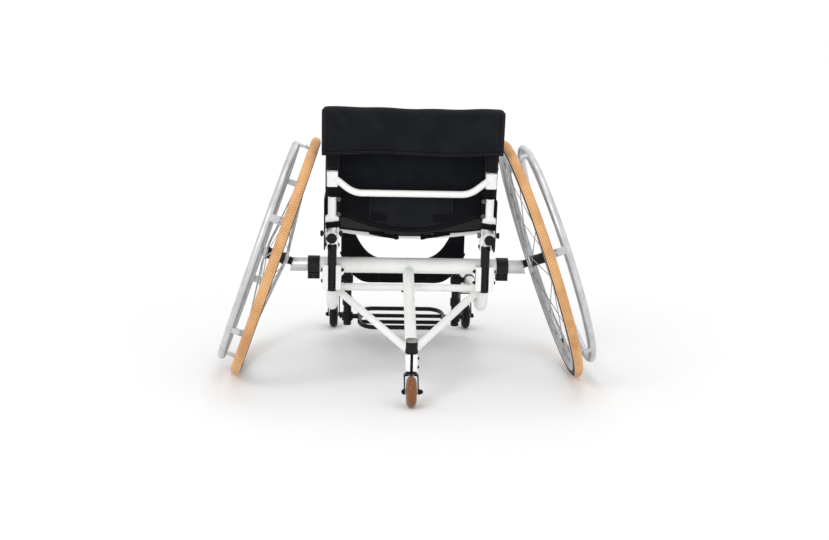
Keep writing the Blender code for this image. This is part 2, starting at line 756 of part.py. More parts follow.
def caster_wheel(name, x, y, radius, width, look, body):
    """Small solid wheel with a rounded tread and a bore for its bolt."""
    half = width / 2
    bore = (FORK_BOLT_RADIUS + SLIDE) / cos(pi / CASTER_STEPS)
    outline = [
        (radius, 0.18 * width), (radius, -0.18 * width), (radius - 0.004, -0.42 * width),
        (radius - 0.010, -half), (bore, -half)]
    tread = tangent(outline[:4], CASTER_STEPS) + [outline[4], (bore, half)]
    tread += tangent([(radius - 0.010, half), (radius - 0.004, 0.42 * width)], CASTER_STEPS)
    place = frame_of((x, y, radius), (1, 0, 0), (0, 0, -1)) @ Matrix.Rotation(pi / CASTER_STEPS, 4, "Z")
    piece(name, turned(tread, CASTER_STEPS, place), look, body)


def fork(name, x, swivel_y, wheel_y, radius, width, stem_radius, stem_top, crown_bottom, body):
    """Fork with its stem, crown, two legs and the wheel's bolt with its nuts."""
    inner = width / 2 + FORK_CLEARANCE
    outer = inner + FORK_PLATE
    crown_top = crown_bottom + CROWN_THICKNESS
    crown = block((x - outer, swivel_y - FORK_WIDTH * 0.3, crown_bottom),
                  (x + outer, swivel_y + FORK_WIDTH * 0.6, crown_top))
    stem = rod((x, swivel_y, crown_bottom + 0.001), (x, swivel_y, stem_top), stem_radius)
    back = Vector((0, wheel_y - swivel_y, radius - crown_bottom))
    lean = back.normalized() * (FORK_WIDTH * 0.45)
    reach = FORK_WIDTH * 0.5
    outline = [
        (swivel_y + reach, crown_top - 0.001), (swivel_y - reach, crown_top - 0.001),
        (wheel_y - reach * 0.8, radius), (wheel_y + lean.y, radius + lean.z),
        (wheel_y + reach * 0.8, radius)]
    legs = []
    for end in (-1, 1):
        middle = x + end * (inner + outer) / 2
        place = frame_of((middle, 0, 0), (1, 0, 0), (0, 1, 0))
        legs.append(plate(outline, FORK_PLATE, place))
    bolt = rod((x - outer - NUT_LENGTH, wheel_y, radius), (x + outer + NUT_LENGTH, wheel_y, radius),
               FORK_BOLT_RADIUS)
    nuts = [
        rod((x + end * (outer - 0.0005), wheel_y, radius), (x + end * (outer + NUT_LENGTH), wheel_y, radius),
            NUT_RADIUS, NUT_RADIUS * 0.75, sides=6)
        for end in (-1, 1)]
    piece(name, crown, BLACK_PAINT, body, joined=[stem, *legs, bolt, *nuts])


def front_casters():
    """Both front casters, trailing behind their swivels."""
    crown_bottom = HOUSING_BOTTOM - GAP - CROWN_THICKNESS
    stem_top = HOUSING_BOTTOM + HOUSING_HEIGHT - 0.010
    for side, name in ((-1, "left"), (1, "right")):
        x = side * CASTER_HALF
        swivel = empty("body_caster_fork_" + name, (x, CASTER_SWIVEL_Y, HOUSING_BOTTOM), ROOT)
        spin = empty("body_caster_wheel_" + name, (x, CASTER_CONTACT_Y, CASTER_RADIUS), swivel)
        fork("caster_fork_" + name, x, CASTER_SWIVEL_Y, CASTER_CONTACT_Y, CASTER_RADIUS,
             CASTER_WIDTH, STEM_RADIUS, stem_top, crown_bottom, swivel)
        caster_wheel("caster_wheel_" + name, x, CASTER_CONTACT_Y, CASTER_RADIUS, CASTER_WIDTH,
                     BLACK_RUBBER, spin)


def anti_tip_clamp():
    """White split clamp at the mast's foot, with its two pinch bolts."""
    low, high = ANTITIP_CLAMP_BOTTOM, ANTITIP_CLAMP_BOTTOM + ANTITIP_CLAMP_HEIGHT
    y = ANTITIP_STEM_Y
    barrel = rod((0, y, low), (0, y, high), ANTITIP_CLAMP_RADIUS)
    ears = block((-ANTITIP_CLAMP_RADIUS, y - ANTITIP_EAR, low), (ANTITIP_CLAMP_RADIUS, y, high))
    bore = rod((0, y, low - 0.01), (0, y, high + 0.01),
               (BEARING_TUBE_RADIUS + GAP) / cos(pi / TUBE_SIDES))
    split = block((-ANTITIP_SPLIT / 2, y - 0.05, low - 0.01), (ANTITIP_SPLIT / 2, y, high + 0.01))
    bolts = [
        rod((ANTITIP_CLAMP_RADIUS - 0.001, y - ANTITIP_EAR * 0.82, z),
            (ANTITIP_CLAMP_RADIUS + 0.0035, y - ANTITIP_EAR * 0.82, z), 0.0026, sides=8)
        for z in (low + 0.25 * ANTITIP_CLAMP_HEIGHT, low + 0.78 * ANTITIP_CLAMP_HEIGHT)]
    piece("anti_tip_clamp", barrel, WHITE_PAINT, joined=[ears, *bolts], cuts=[bore, split])


def anti_tip():
    """Rear anti-tip wheel: clamp, bearing cartridge, fork and wheel."""
    anti_tip_clamp()
    low = ANTITIP_CLAMP_BOTTOM
    high = low + ANTITIP_CLAMP_HEIGHT
    flange_low = low - GAP - BEARING_FLANGE_HEIGHT
    cap_top = high + GAP + BEARING_CAP_HEIGHT
    bore = (ANTITIP_STEM_RADIUS + SLIDE) / cos(pi / 16)
    profile = [
        (0.0, cap_top), (BEARING_CAP_RADIUS - 0.001, cap_top), (BEARING_CAP_RADIUS, cap_top - 0.002),
        (BEARING_CAP_RADIUS, high + GAP), (BEARING_TUBE_RADIUS, high + GAP),
        (BEARING_TUBE_RADIUS, low - GAP), (BEARING_FLANGE_RADIUS, low - GAP),
        (BEARING_FLANGE_RADIUS - 0.0015, flange_low), (bore, flange_low),
        (bore, cap_top - 0.008), (0.0, cap_top - 0.008)]
    place = frame_of((0, ANTITIP_STEM_Y, 0), (0, 0, 1), (1, 0, 0))
    piece("anti_tip_bearing", turned(profile, 16, place, closed=False), BLACK_PLASTIC)
    swivel = empty("body_anti_tip_fork", (0, ANTITIP_STEM_Y, flange_low), ROOT)
    spin = empty("body_anti_tip_wheel", (0, ANTITIP_WHEEL_Y, ANTITIP_RADIUS), swivel)
    fork("anti_tip_fork", 0, ANTITIP_STEM_Y, ANTITIP_WHEEL_Y, ANTITIP_RADIUS, ANTITIP_WIDTH,
         ANTITIP_STEM_RADIUS, cap_top - 0.011, flange_low - GAP - CROWN_THICKNESS, swivel)
    caster_wheel("anti_tip_wheel", 0, ANTITIP_WHEEL_Y, ANTITIP_RADIUS, ANTITIP_WIDTH, BROWN_WHEEL, spin)


# Seat frame: everything here rides on the seat-height slide

def seat_path(side):
    """Centre line of one seat side tube, with its slight bend inwards."""
    bend = Vector((side * seat_x(SEAT_BEND_Y), SEAT_BEND_Y, seat_z(SEAT_BEND_Y)))
    front = Vector((side * SEAT_FRONT_HALF, SEAT_FRONT_Y, seat_z(SEAT_FRONT_Y)))
    return [mirrored(SEAT_REAR, side), bend, front]


def seat_tube_cutter(side):
    """Room for a seat side tube in what meets it."""
    return pipe(seat_path(side), SEAT_TUBE_RADIUS + GAP)


def pivot_line(side, inner, outer):
    """Ends of a line along the fold pivot, at these distances from the seat tube."""
    return (Vector((side * (SEAT_REAR.x + inner), PIVOT.y, PIVOT.z)),
            Vector((side * (SEAT_REAR.x + outer), PIVOT.y, PIVOT.z)))


def seat_tube(side, name, body):
    """Seat side tube with the two lugs that hold the strut's head."""
    low = seat_z(STRUT_Y) - LUG_DROP
    lugs = []
    for end in (-1, 1):
        near = SEAT_REAR.x + end * (STRUT_RADIUS + GAP)
        far = near + end * LUG_THICKNESS
        low_x, high_x = sorted((side * near, side * far))
        lugs.append(block((low_x, STRUT_Y - LUG_WIDTH / 2, low),
                          (high_x, STRUT_Y + LUG_WIDTH / 2, seat_z(STRUT_Y) - 0.002)))
    rear, bend, _ = seat_path(side)
    inward = (bend - rear).normalized()
    plug_hole = rod(rear - inward * 0.01, rear + inward * (SEAT_CAP_PLUG + 0.002),
                    SEAT_TUBE_RADIUS - 0.003 + GAP)
    pin_hole = rod(*pivot_line(side, -0.03, 0.03), PIVOT_RADIUS + SLIDE)
    piece("seat_tube_" + name, pipe(seat_path(side), SEAT_TUBE_RADIUS), WHITE_PAINT, body,
          joined=lugs, cuts=[plug_hole, pin_hole])
    cap = rod(rear - inward * (GAP + SEAT_CAP_LENGTH), rear - inward * GAP, SEAT_TUBE_RADIUS)
    plug = rod(rear - inward * 0.001, rear + inward * SEAT_CAP_PLUG, SEAT_TUBE_RADIUS - 0.003)
    piece("seat_tube_cap_" + name, cap, BLACK_PLASTIC, body, joined=[plug])


def seat_strut(side, name, body):
    """Rear height strut under the seat tube."""
    x = side * FRAME_HALF
    top = seat_z(STRUT_Y) - SEAT_TUBE_RADIUS - 0.0015
    strut = rod((x, STRUT_Y, STRUT_BOTTOM), (x, STRUT_Y, top), STRUT_RADIUS)
    piece("seat_strut_" + name, strut, BLACK_PAINT, body)


def strut_clamp(side, name):
    """White split clamp behind the camber tube that grips the rear strut."""
    x = side * FRAME_HALF
    low = STRUT_CLAMP_BOTTOM
    high = low + STRUT_CLAMP_HEIGHT
    body = block((x - STRUT_CLAMP_HALF, STRUT_Y - STRUT_CLAMP_BACK, low),
                 (x + STRUT_CLAMP_HALF, -RAIL_RADIUS - GAP, high))
    bore = rod((x, STRUT_Y, low - 0.01), (x, STRUT_Y, high + 0.01),
               (STRUT_RADIUS + SLIDE) / cos(pi / TUBE_SIDES))
    slot = block((x - STRUT_SLOT / 2, STRUT_Y - 0.05, low - 0.01),
                 (x + STRUT_SLOT / 2, STRUT_Y, high + 0.01))
    fasteners = []
    for z in (low + 0.33 * STRUT_CLAMP_HEIGHT, low + 0.79 * STRUT_CLAMP_HEIGHT):
        outer = x + side * (STRUT_CLAMP_HALF - 0.001)
        inner = x - side * (STRUT_CLAMP_HALF - 0.001)
        fasteners.append(rod((outer, STRUT_Y, z), (outer + side * 0.004, STRUT_Y, z), 0.0038, sides=8))
        fasteners.append(rod((inner, STRUT_Y, z), (inner - side * 0.006, STRUT_Y, z), 0.0045, 0.002, 8))
    piece("strut_clamp_" + name, body, WHITE_PAINT, joined=fasteners,
          cuts=[camber_cutter(), bore, slot])


def seat_cross_bar(body):
    """Bar that bows down under the sling between the seat side tubes."""
    half = seat_x(0.0)
    points = []
    for i in range(13):
        x = half * (i / 6 - 1)
        dip = SEAT_BAR_LOW + SEAT_BAR_SAG * (1 - (x / half) ** 2)
        points.append((x, 0.0, seat_z(0.0) - dip))
    piece("seat_cross_bar", pipe(points, SEAT_BAR_RADIUS, resolution=3), WHITE_PAINT, body,
          cuts=[seat_tube_cutter(side) for side in (-1, 1)])


def sling_point(across, along_y):
    """A point of the seat sling: over both side tubes and sagging between them."""
    if along_y < 1 / 3:
        y = SLING_REAR_Y + (SEAT_BEND_Y - SLING_REAR_Y) * along_y * 3
    else:
        y = SEAT_BEND_Y + (SLING_FRONT_Y - SEAT_BEND_Y) * (along_y * 3 - 1) / 2
    turn = SLING_WRAP - SLING_LEAVE
    wrap = (SEAT_TUBE_RADIUS + GAP + SLING_THICKNESS / 2) / cos(turn / SLING_WRAP_COLUMNS / 2)
    t = 2 * across - 1
    side = 1 if t >= 0 else -1
    share = 1 - 2 * SLING_WRAP_COLUMNS / SLING_COLUMNS
    if abs(t) > share:
        angle = SLING_LEAVE + turn * (abs(t) - share) / (1 - share)
        return Vector((side * (seat_x(y) - wrap * cos(angle)), y, seat_z(y) + wrap * sin(angle)))
    edge_x = seat_x(y) - wrap * cos(SLING_LEAVE)
    edge_z = wrap * sin(SLING_LEAVE)
    fall = (edge_z + SLING_SAG) * (1 - (t / share) ** 2)
    return Vector((edge_x * t / share, y, seat_z(y) + edge_z - fall))


def side_guard(side, name, body):
    """Thin fender plate with the two studs that hold it off the seat tube."""
    start_y = PIVOT_Y - GUARD_BEHIND_PIVOT
    outline = [
        (start_y + (GUARD_FRONT_Y - start_y) * along_y, GUARD_BOTTOM + (GUARD_TOP - GUARD_BOTTOM) * up)
        for along_y, up in GUARD_SHAPE]
    place = frame_of((side * GUARD_X, 0, 0), (1, 0, 0), (0, 1, 0))
    guard = plate(outline, GUARD_THICKNESS, place)
    studs = []
    for y in (0.0, GUARD_STUD_STEP):
        studs.append(rod((side * seat_x(y), y, seat_z(y)), (side * GUARD_X, y, seat_z(y)),
                         GUARD_STUD_RADIUS, sides=8))
    notch = rod((side * (GUARD_X - 0.01), PIVOT.y, PIVOT.z), (side * (GUARD_X + 0.01), PIVOT.y, PIVOT.z),
                PIVOT_RADIUS + 0.0015)
    piece("side_guard_" + name, guard, BLACK_PLASTIC, body, joined=studs,
          cuts=[notch, seat_tube_cutter(side)])


def seat_frame(body):
    """Side tubes, struts, cross bar, sling and guards."""
    for side, name in ((-1, "left"), (1, "right")):
        seat_tube(side, name, body)
        seat_strut(side, name, body)
        strut_clamp(side, name)
        side_guard(side, name, body)
    seat_cross_bar(body)
    piece("seat_sling", sheet(sling_point, SLING_COLUMNS, 6, SLING_THICKNESS), BLACK_FABRIC, body)


# Front legs, footrest and calf strap

def front_leg(side, name, body):
    """Front leg under the seat tube, with the stop collar above the footrest."""
    x = side * LEG_HALF
    top = seat_z(LEG_Y) - SEAT_TUBE_RADIUS - 0.0015
    leg = rod((x, LEG_Y, LEG_BOTTOM), (x, LEG_Y, top), STRUT_RADIUS)
    collar = rod((x, LEG_Y, LEG_COLLAR_LOW), (x, LEG_Y, LEG_COLLAR_HIGH),
                 STRUT_RADIUS + LEG_COLLAR_WALL)
    piece("front_leg_" + name, leg, BLACK_PAINT, body, joined=[collar])


def leg_ring(x, low, high, wall):
    """A ring round a front leg, and the bore that is cut through it."""
    ring = rod((x, LEG_Y, low), (x, LEG_Y, high), STRUT_RADIUS + wall)
    bore = rod((x, LEG_Y, low - 0.05), (x, LEG_Y, high + 0.05),
               (STRUT_RADIUS + SLIDE) / cos(pi / TUBE_SIDES))
    return ring, bore


def front_clamp(side, name):
    """Clamp that carries the front leg off the side rail."""
    x = side * LEG_HALF
    low, high = RAIL_Z - LEG_CLAMP_HEIGHT / 2, RAIL_Z + LEG_CLAMP_HEIGHT / 2
    ring, bore = leg_ring(x, low, high, LEG_CLAMP_WALL)
    end = FRAME_HALF - RAIL_RADIUS - GAP
    low_x, high_x = sorted((x, side * end))
    arm = block((low_x, LEG_Y - LEG_CLAMP_ARM / 2, RAIL_Z - LEG_CLAMP_ARM / 2),
                (high_x, LEG_Y + LEG_CLAMP_ARM / 2, RAIL_Z + LEG_CLAMP_ARM / 2))
    knob_y = LEG_Y - STRUT_RADIUS - LEG_CLAMP_WALL
    knob = rod((x, knob_y + 0.002, RAIL_Z), (x, knob_y - 0.006, RAIL_Z), 0.005, sides=8)
    piece("front_clamp_" + name, ring, BLACK_PLASTIC, joined=[arm, knob], cuts=[bore])


def foot_clamp(side, name, body):
    """Sliding clamp with the arm that holds the footplate."""
    x = side * LEG_HALF
    half = FOOT_CLAMP_HEIGHT / 2
    ring, bore = leg_ring(x, FOOT_CLAMP_Z - half, FOOT_CLAMP_Z + half, LEG_CLAMP_WALL)
    end = FOOTPLATE_HALF + FOOTPLATE_TUBE + GAP
    low_x, high_x = sorted((x, side * end))
    arm = block((low_x, LEG_Y - FOOTPLATE_TUBE, FOOT_CLAMP_Z - FOOTPLATE_TUBE),
                (high_x, LEG_Y + FOOTPLATE_TUBE, FOOT_CLAMP_Z + FOOTPLATE_TUBE))
    outer = x + side * (STRUT_RADIUS + LEG_CLAMP_WALL - 0.001)
    knob = rod((outer, LEG_Y, FOOT_CLAMP_Z), (outer + side * 0.006, LEG_Y, FOOT_CLAMP_Z), 0.006, sides=8)
    piece("foot_clamp_" + name, ring, BLACK_PLASTIC, body, joined=[arm, knob], cuts=[bore])


def footplate_z(y):
    """Height of the tilted footplate's plane at this depth."""
    return FOOT_CLAMP_Z + (y - LEG_Y) * FOOTPLATE_TILT


def footplate(body):
    """Rounded tube loop with two bars across it."""
    near, far = FOOTPLATE_NEAR_Y, FOOTPLATE_NEAR_Y + FOOTPLATE_DEPTH
    half = FOOTPLATE_HALF
    corners = [Vector((x, y, footplate_z(y))) for x, y in
               ((half, near), (half, far), (-half, far), (-half, near))]
    points = []
    for i, corner in enumerate(corners):
        points += fillet(corner, corners[i - 1], corners[(i + 1) % 4], FOOTPLATE_CORNER, steps=5)
    bars = []
    for share in FOOTPLATE_BARS:
        y = near + share * FOOTPLATE_DEPTH
        bars.append(rod((-half, y, footplate_z(y)), (half, y, footplate_z(y)), FOOTPLATE_TUBE * 0.9, sides=8))
    loop = pipe(points, FOOTPLATE_TUBE, resolution=2, closed=True)
    piece("footplate", loop, BLACK_PAINT, body, joined=bars)


def calf_point(across, up):
    """A point of the calf strap: a U-shaped band hung behind the front legs."""
    x = CALF_HALF * (2 * across - 1)
    share = abs(x) / CALF_HALF
    low = CALF_BOTTOM + 0.08 * max(0.0, (share - 0.5) / 0.5) ** 2.5
    high = min(CALF_TOP, CALF_BOTTOM + CALF_BAND + 0.184 * share ** 3.1)
    return Vector((x, CALF_Y, low + (high - low) * up))


def footrest(seat_body, foot_body):
    """Front legs with their clamps, the footrest and the calf strap."""
    rings, bores = [], []
    for side, name in ((-1, "left"), (1, "right")):
        front_leg(side, name, seat_body)
        front_clamp(side, name)
        foot_clamp(side, name, foot_body)
        ring, bore = leg_ring(side * LEG_HALF, CALF_LOOP_Z - CALF_LOOP_HEIGHT / 2,
                              CALF_LOOP_Z + CALF_LOOP_HEIGHT / 2, LEG_Y - CALF_Y - STRUT_RADIUS)
        rings.append(ring)
        bores.append(bore)
    footplate(foot_body)
    strap = sheet(calf_point, 16, 4, CALF_THICKNESS)
    piece("calf_strap", strap, BLACK_FABRIC, seat_body, joined=rings, cuts=bores)


# Backrest: everything here rides on the fold pivot

def back_point(x, up, forward):
    """A point in the backrest's own directions, measured from the foot of its posts."""
    return Vector((x, 0, 0)) + POST_START + POST_UP * up + POST_FORWARD * forward


def back_place(x, up, forward):
    """A matrix at a point of the backrest, local Z up along its posts."""
    return frame_of(back_point(x, up, forward), POST_UP, (1, 0, 0))


def backrest_post(side, name, body):
    """Post with the two plates that straddle the seat tube at the pivot."""
    x = side * SEAT_REAR.x
    post = rod(back_point(x, 0, 0), back_point(x, POST_LENGTH, 0), POST_RADIUS)
    plate_gap = SEAT_TUBE_RADIUS + GAP
    outer = plate_gap + POST_PLATE
    collar_low = 0.004
    collar = block((-outer, -0.009, 0), (outer, 0.009, POST_COLLAR))
    collar.matrix_basis = back_place(x, collar_low, 0)
    outline = []
    for i in range(7):
        angle = pi * (1.02 + i / 6)
        outline.append((PIVOT.y + 0.009 * cos(angle), PIVOT.z + 0.009 * sin(angle)))
    for up, forward in ((collar_low + POST_COLLAR - 0.001, 0.0085), (collar_low + POST_COLLAR - 0.001, -0.0085)):
        corner = back_point(0, up, forward)
        outline.append((corner.y, corner.z))
    plates = []
    for end in (-1, 1):
        middle = x + end * (plate_gap + POST_PLATE / 2)
        plates.append(plate(outline, POST_PLATE, frame_of((middle, 0, 0), (1, 0, 0), (0, 1, 0))))
    hole = rod(*pivot_line(side, -0.03, 0.03), (PIVOT_RADIUS + SLIDE) / cos(pi / TUBE_SIDES))
    piece("backrest_post_" + name, post, WHITE_PAINT, body, joined=[collar, *plates], cuts=[hole])


def back_pivot(side, name, body):
    """Quick-release pin through the seat tube, with a knob at each end."""
    plates = SEAT_TUBE_RADIUS + GAP + POST_PLATE
    outer = GUARD_X + GUARD_THICKNESS / 2 - SEAT_REAR.x + GAP
    inner = -plates - GAP
    pin = rod(*pivot_line(side, inner - 0.001, outer + 0.001), PIVOT_RADIUS)
    knobs = [rod(*pivot_line(side, inner, inner - KNOB_LENGTH), KNOB_RADIUS, KNOB_RADIUS * 0.8, 8),
             rod(*pivot_line(side, outer, outer + KNOB_LENGTH), KNOB_RADIUS, KNOB_RADIUS * 0.8, 8)]
    piece("back_pivot_" + name, pin, BLACK_PLASTIC, body, joined=knobs)


def rigidizer(body):
    """Bent bar behind the upholstery, with a block on each post."""
    x = SEAT_REAR.x
    half_run = RIGIDIZER_RUN / 2
    block_half = RIGIDIZER_BLOCK / 2
    ends = [back_point(side * x, RIGIDIZER_UP, -RIGIDIZER_BOW * 0.5) for side in (-1, 1)]
    corners = [
        back_point(side * half_run, RIGIDIZER_UP - RIGIDIZER_DROP, -RIGIDIZER_BOW) for side in (-1, 1)]
    points = [ends[0], *fillet(corners[0], ends[0], corners[1], RIGIDIZER_BEND),
              *fillet(corners[1], corners[0], ends[1], RIGIDIZER_BEND), ends[1]]
    blocks = []
    bores = []
    for side in (-1, 1):
        sleeve = block((-block_half, -block_half, -RIGIDIZER_BLOCK_HEIGHT / 2),
                       (block_half, block_half, RIGIDIZER_BLOCK_HEIGHT / 2))
        sleeve.matrix_basis = back_place(side * x, RIGIDIZER_UP, 0)
        blocks.append(sleeve)
        bores.append(rod(back_point(side * x, RIGIDIZER_UP - 0.05, 0), back_point(side * x, RIGIDIZER_UP + 0.05, 0),
                         POST_RADIUS + GAP))
    bar = pipe(points, RIGIDIZER_RADIUS, resolution=3)
    piece("rigidizer_bar", bar, WHITE_PAINT, body, joined=blocks, cuts=bores)


def panel_point(across, up):
    """A point of the back upholstery: in front of the posts and bowed back between them."""
    x = BACK_HALF * (2 * across - 1)
    inner = max(0.0, 1 - (x / (BACK_HALF * 0.75)) ** 2)
    low = BACK_CORNER_UP - (BACK_CORNER_UP + BACK_HEM_DIP) * inner
    forward = BACK_OFFSET + BACK_THICKNESS / 2 - BACK_SAG * inner
    return back_point(x, low + (POST_LENGTH - low) * up, forward)


def flap_point(across, round_top):
    """A point of the flap: up the front, over the top and down behind to a wavy hem."""
    x = FLAP_HALF * (2 * across - 1)
    front = BACK_OFFSET + BACK_THICKNESS + GAP + FLAP_THICKNESS / 2 + 0.0005
    rear = POST_RADIUS + BACK_SLEEVE_WALL + GAP + FLAP_THICKNESS / 2 + 0.0005
    crown = POST_LENGTH + FLAP_TOP
    half = (front + rear) / 2
    shoulder = crown - half * 0.6
    if round_top < 0.25:
        return back_point(x, shoulder - FLAP_FRONT_DROP * (1 - round_top / 0.25), front)
    if round_top < 0.5:
        angle = pi * (round_top - 0.25) / 0.25
        middle = (front - rear) / 2
        return back_point(x, shoulder + half * 0.6 * sin(angle), middle + half * cos(angle))
    share = (round_top - 0.5) / 0.5
    wave = FLAP_WAVE * share * sin(5 * pi * across + 0.6)
    hem = 0.0025 * share * cos(3 * pi * across)
    return back_point(x, shoulder - (FLAP_DROP - half * 0.6) * share - hem, -rear - abs(wave))


def backrest(body):
    """Posts, pivots, rigidizer bar, upholstery and the flap over its top."""
    sleeves, bores = [], []
    for side, name in ((-1, "left"), (1, "right")):
        backrest_post(side, name, body)
        x = side * SEAT_REAR.x
        radius = POST_RADIUS + BACK_SLEEVE_WALL
        sleeves.append(rod(back_point(x, BACK_SLEEVE_UP, 0), back_point(x, POST_LENGTH - 0.006, 0), radius))
        bores.append(rod(back_point(x, -0.05, 0), back_point(x, POST_LENGTH + 0.05, 0),
                         POST_RADIUS + GAP))
    rigidizer(body)
    panel = sheet(panel_point, 16, 6, BACK_THICKNESS)
    piece("back_upholstery", panel, BLACK_FABRIC, body, joined=sleeves, cuts=bores)
    piece("back_flap", sheet(flap_point, 24, 16, FLAP_THICKNESS), BLACK_FABRIC, body)


def build_chair():
    """Builds every piece in order."""
    camber_tube()
    main_wheels()
    lower_frame()
    front_casters()
    anti_tip()
    seat_body = empty("body_seat", (0, STRUT_Y, STRUT_CLAMP_BOTTOM), ROOT)
    foot_body = empty("body_footrest", (0, LEG_Y, FOOT_CLAMP_Z), seat_body)
    back_body = empty("body_backrest", PIVOT, seat_body)
    seat_frame(seat_body)
    footrest(seat_body, foot_body)
    backrest(back_body)
    for side, name in ((-1, "left"), (1, "right")):
        back_pivot(side, name, seat_body)


build_chair()
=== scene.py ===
"""The finished looks of a sports wheelchair with cambered wheels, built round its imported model.

Metres, +Z up, +Y forwards, +X to the sitter's right. Places are worked out in the chair's
own frame, with the main axle line at Y = 0 and the floor at Z = 0, and each piece is set
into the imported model's frame when it is made.
"""

import logging
from collections.abc import Callable, Sequence
from dataclasses import dataclass, field
from enum import Enum
from math import atan2, ceil, cos, hypot, pi, radians, sin, sqrt, tan

import bmesh
import bpy
from mathutils import Matrix, Vector


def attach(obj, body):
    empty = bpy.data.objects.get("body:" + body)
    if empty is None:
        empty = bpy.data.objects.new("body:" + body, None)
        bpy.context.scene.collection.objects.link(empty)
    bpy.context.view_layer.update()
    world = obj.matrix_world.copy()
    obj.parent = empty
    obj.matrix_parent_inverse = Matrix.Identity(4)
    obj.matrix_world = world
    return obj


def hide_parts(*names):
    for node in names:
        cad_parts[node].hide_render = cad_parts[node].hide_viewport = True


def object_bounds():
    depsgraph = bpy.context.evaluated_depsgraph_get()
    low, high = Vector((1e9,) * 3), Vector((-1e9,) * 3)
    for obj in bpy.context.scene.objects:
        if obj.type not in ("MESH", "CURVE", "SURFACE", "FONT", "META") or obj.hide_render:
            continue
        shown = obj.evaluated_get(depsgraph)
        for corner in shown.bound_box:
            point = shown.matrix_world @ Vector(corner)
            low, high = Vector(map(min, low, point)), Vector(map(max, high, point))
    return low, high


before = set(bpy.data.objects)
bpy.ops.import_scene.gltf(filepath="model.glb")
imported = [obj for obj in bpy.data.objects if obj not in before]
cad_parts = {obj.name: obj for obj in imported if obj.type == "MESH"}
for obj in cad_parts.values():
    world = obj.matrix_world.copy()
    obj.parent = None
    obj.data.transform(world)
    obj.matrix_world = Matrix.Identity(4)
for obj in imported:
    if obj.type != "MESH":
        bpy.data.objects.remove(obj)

log = logging.getLogger("wheelchair")
CAD_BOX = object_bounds()
ACROSS, AHEAD, UP = Vector((1, 0, 0)), Vector((0, 1, 0)), Vector((0, 0, 1))
BEHIND, DOWN = Vector((0, -1, 0)), Vector((0, 0, -1))
TINY = 1e-9

Triple = Colour = tuple[float, float, float]
Flat = tuple[float, float]


class Side(Enum):
    """A side of the chair, as the sitter has it."""

    LEFT = -1
    RIGHT = 1

    @property
    def tag(self) -> str:
        """The side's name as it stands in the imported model's names."""
        return self.name.lower()

    def at(self, x: float, y: float, z: float) -> Vector:
        """A point given for the right-hand side, on this side."""
        return Vector((self.value * x, y, z))


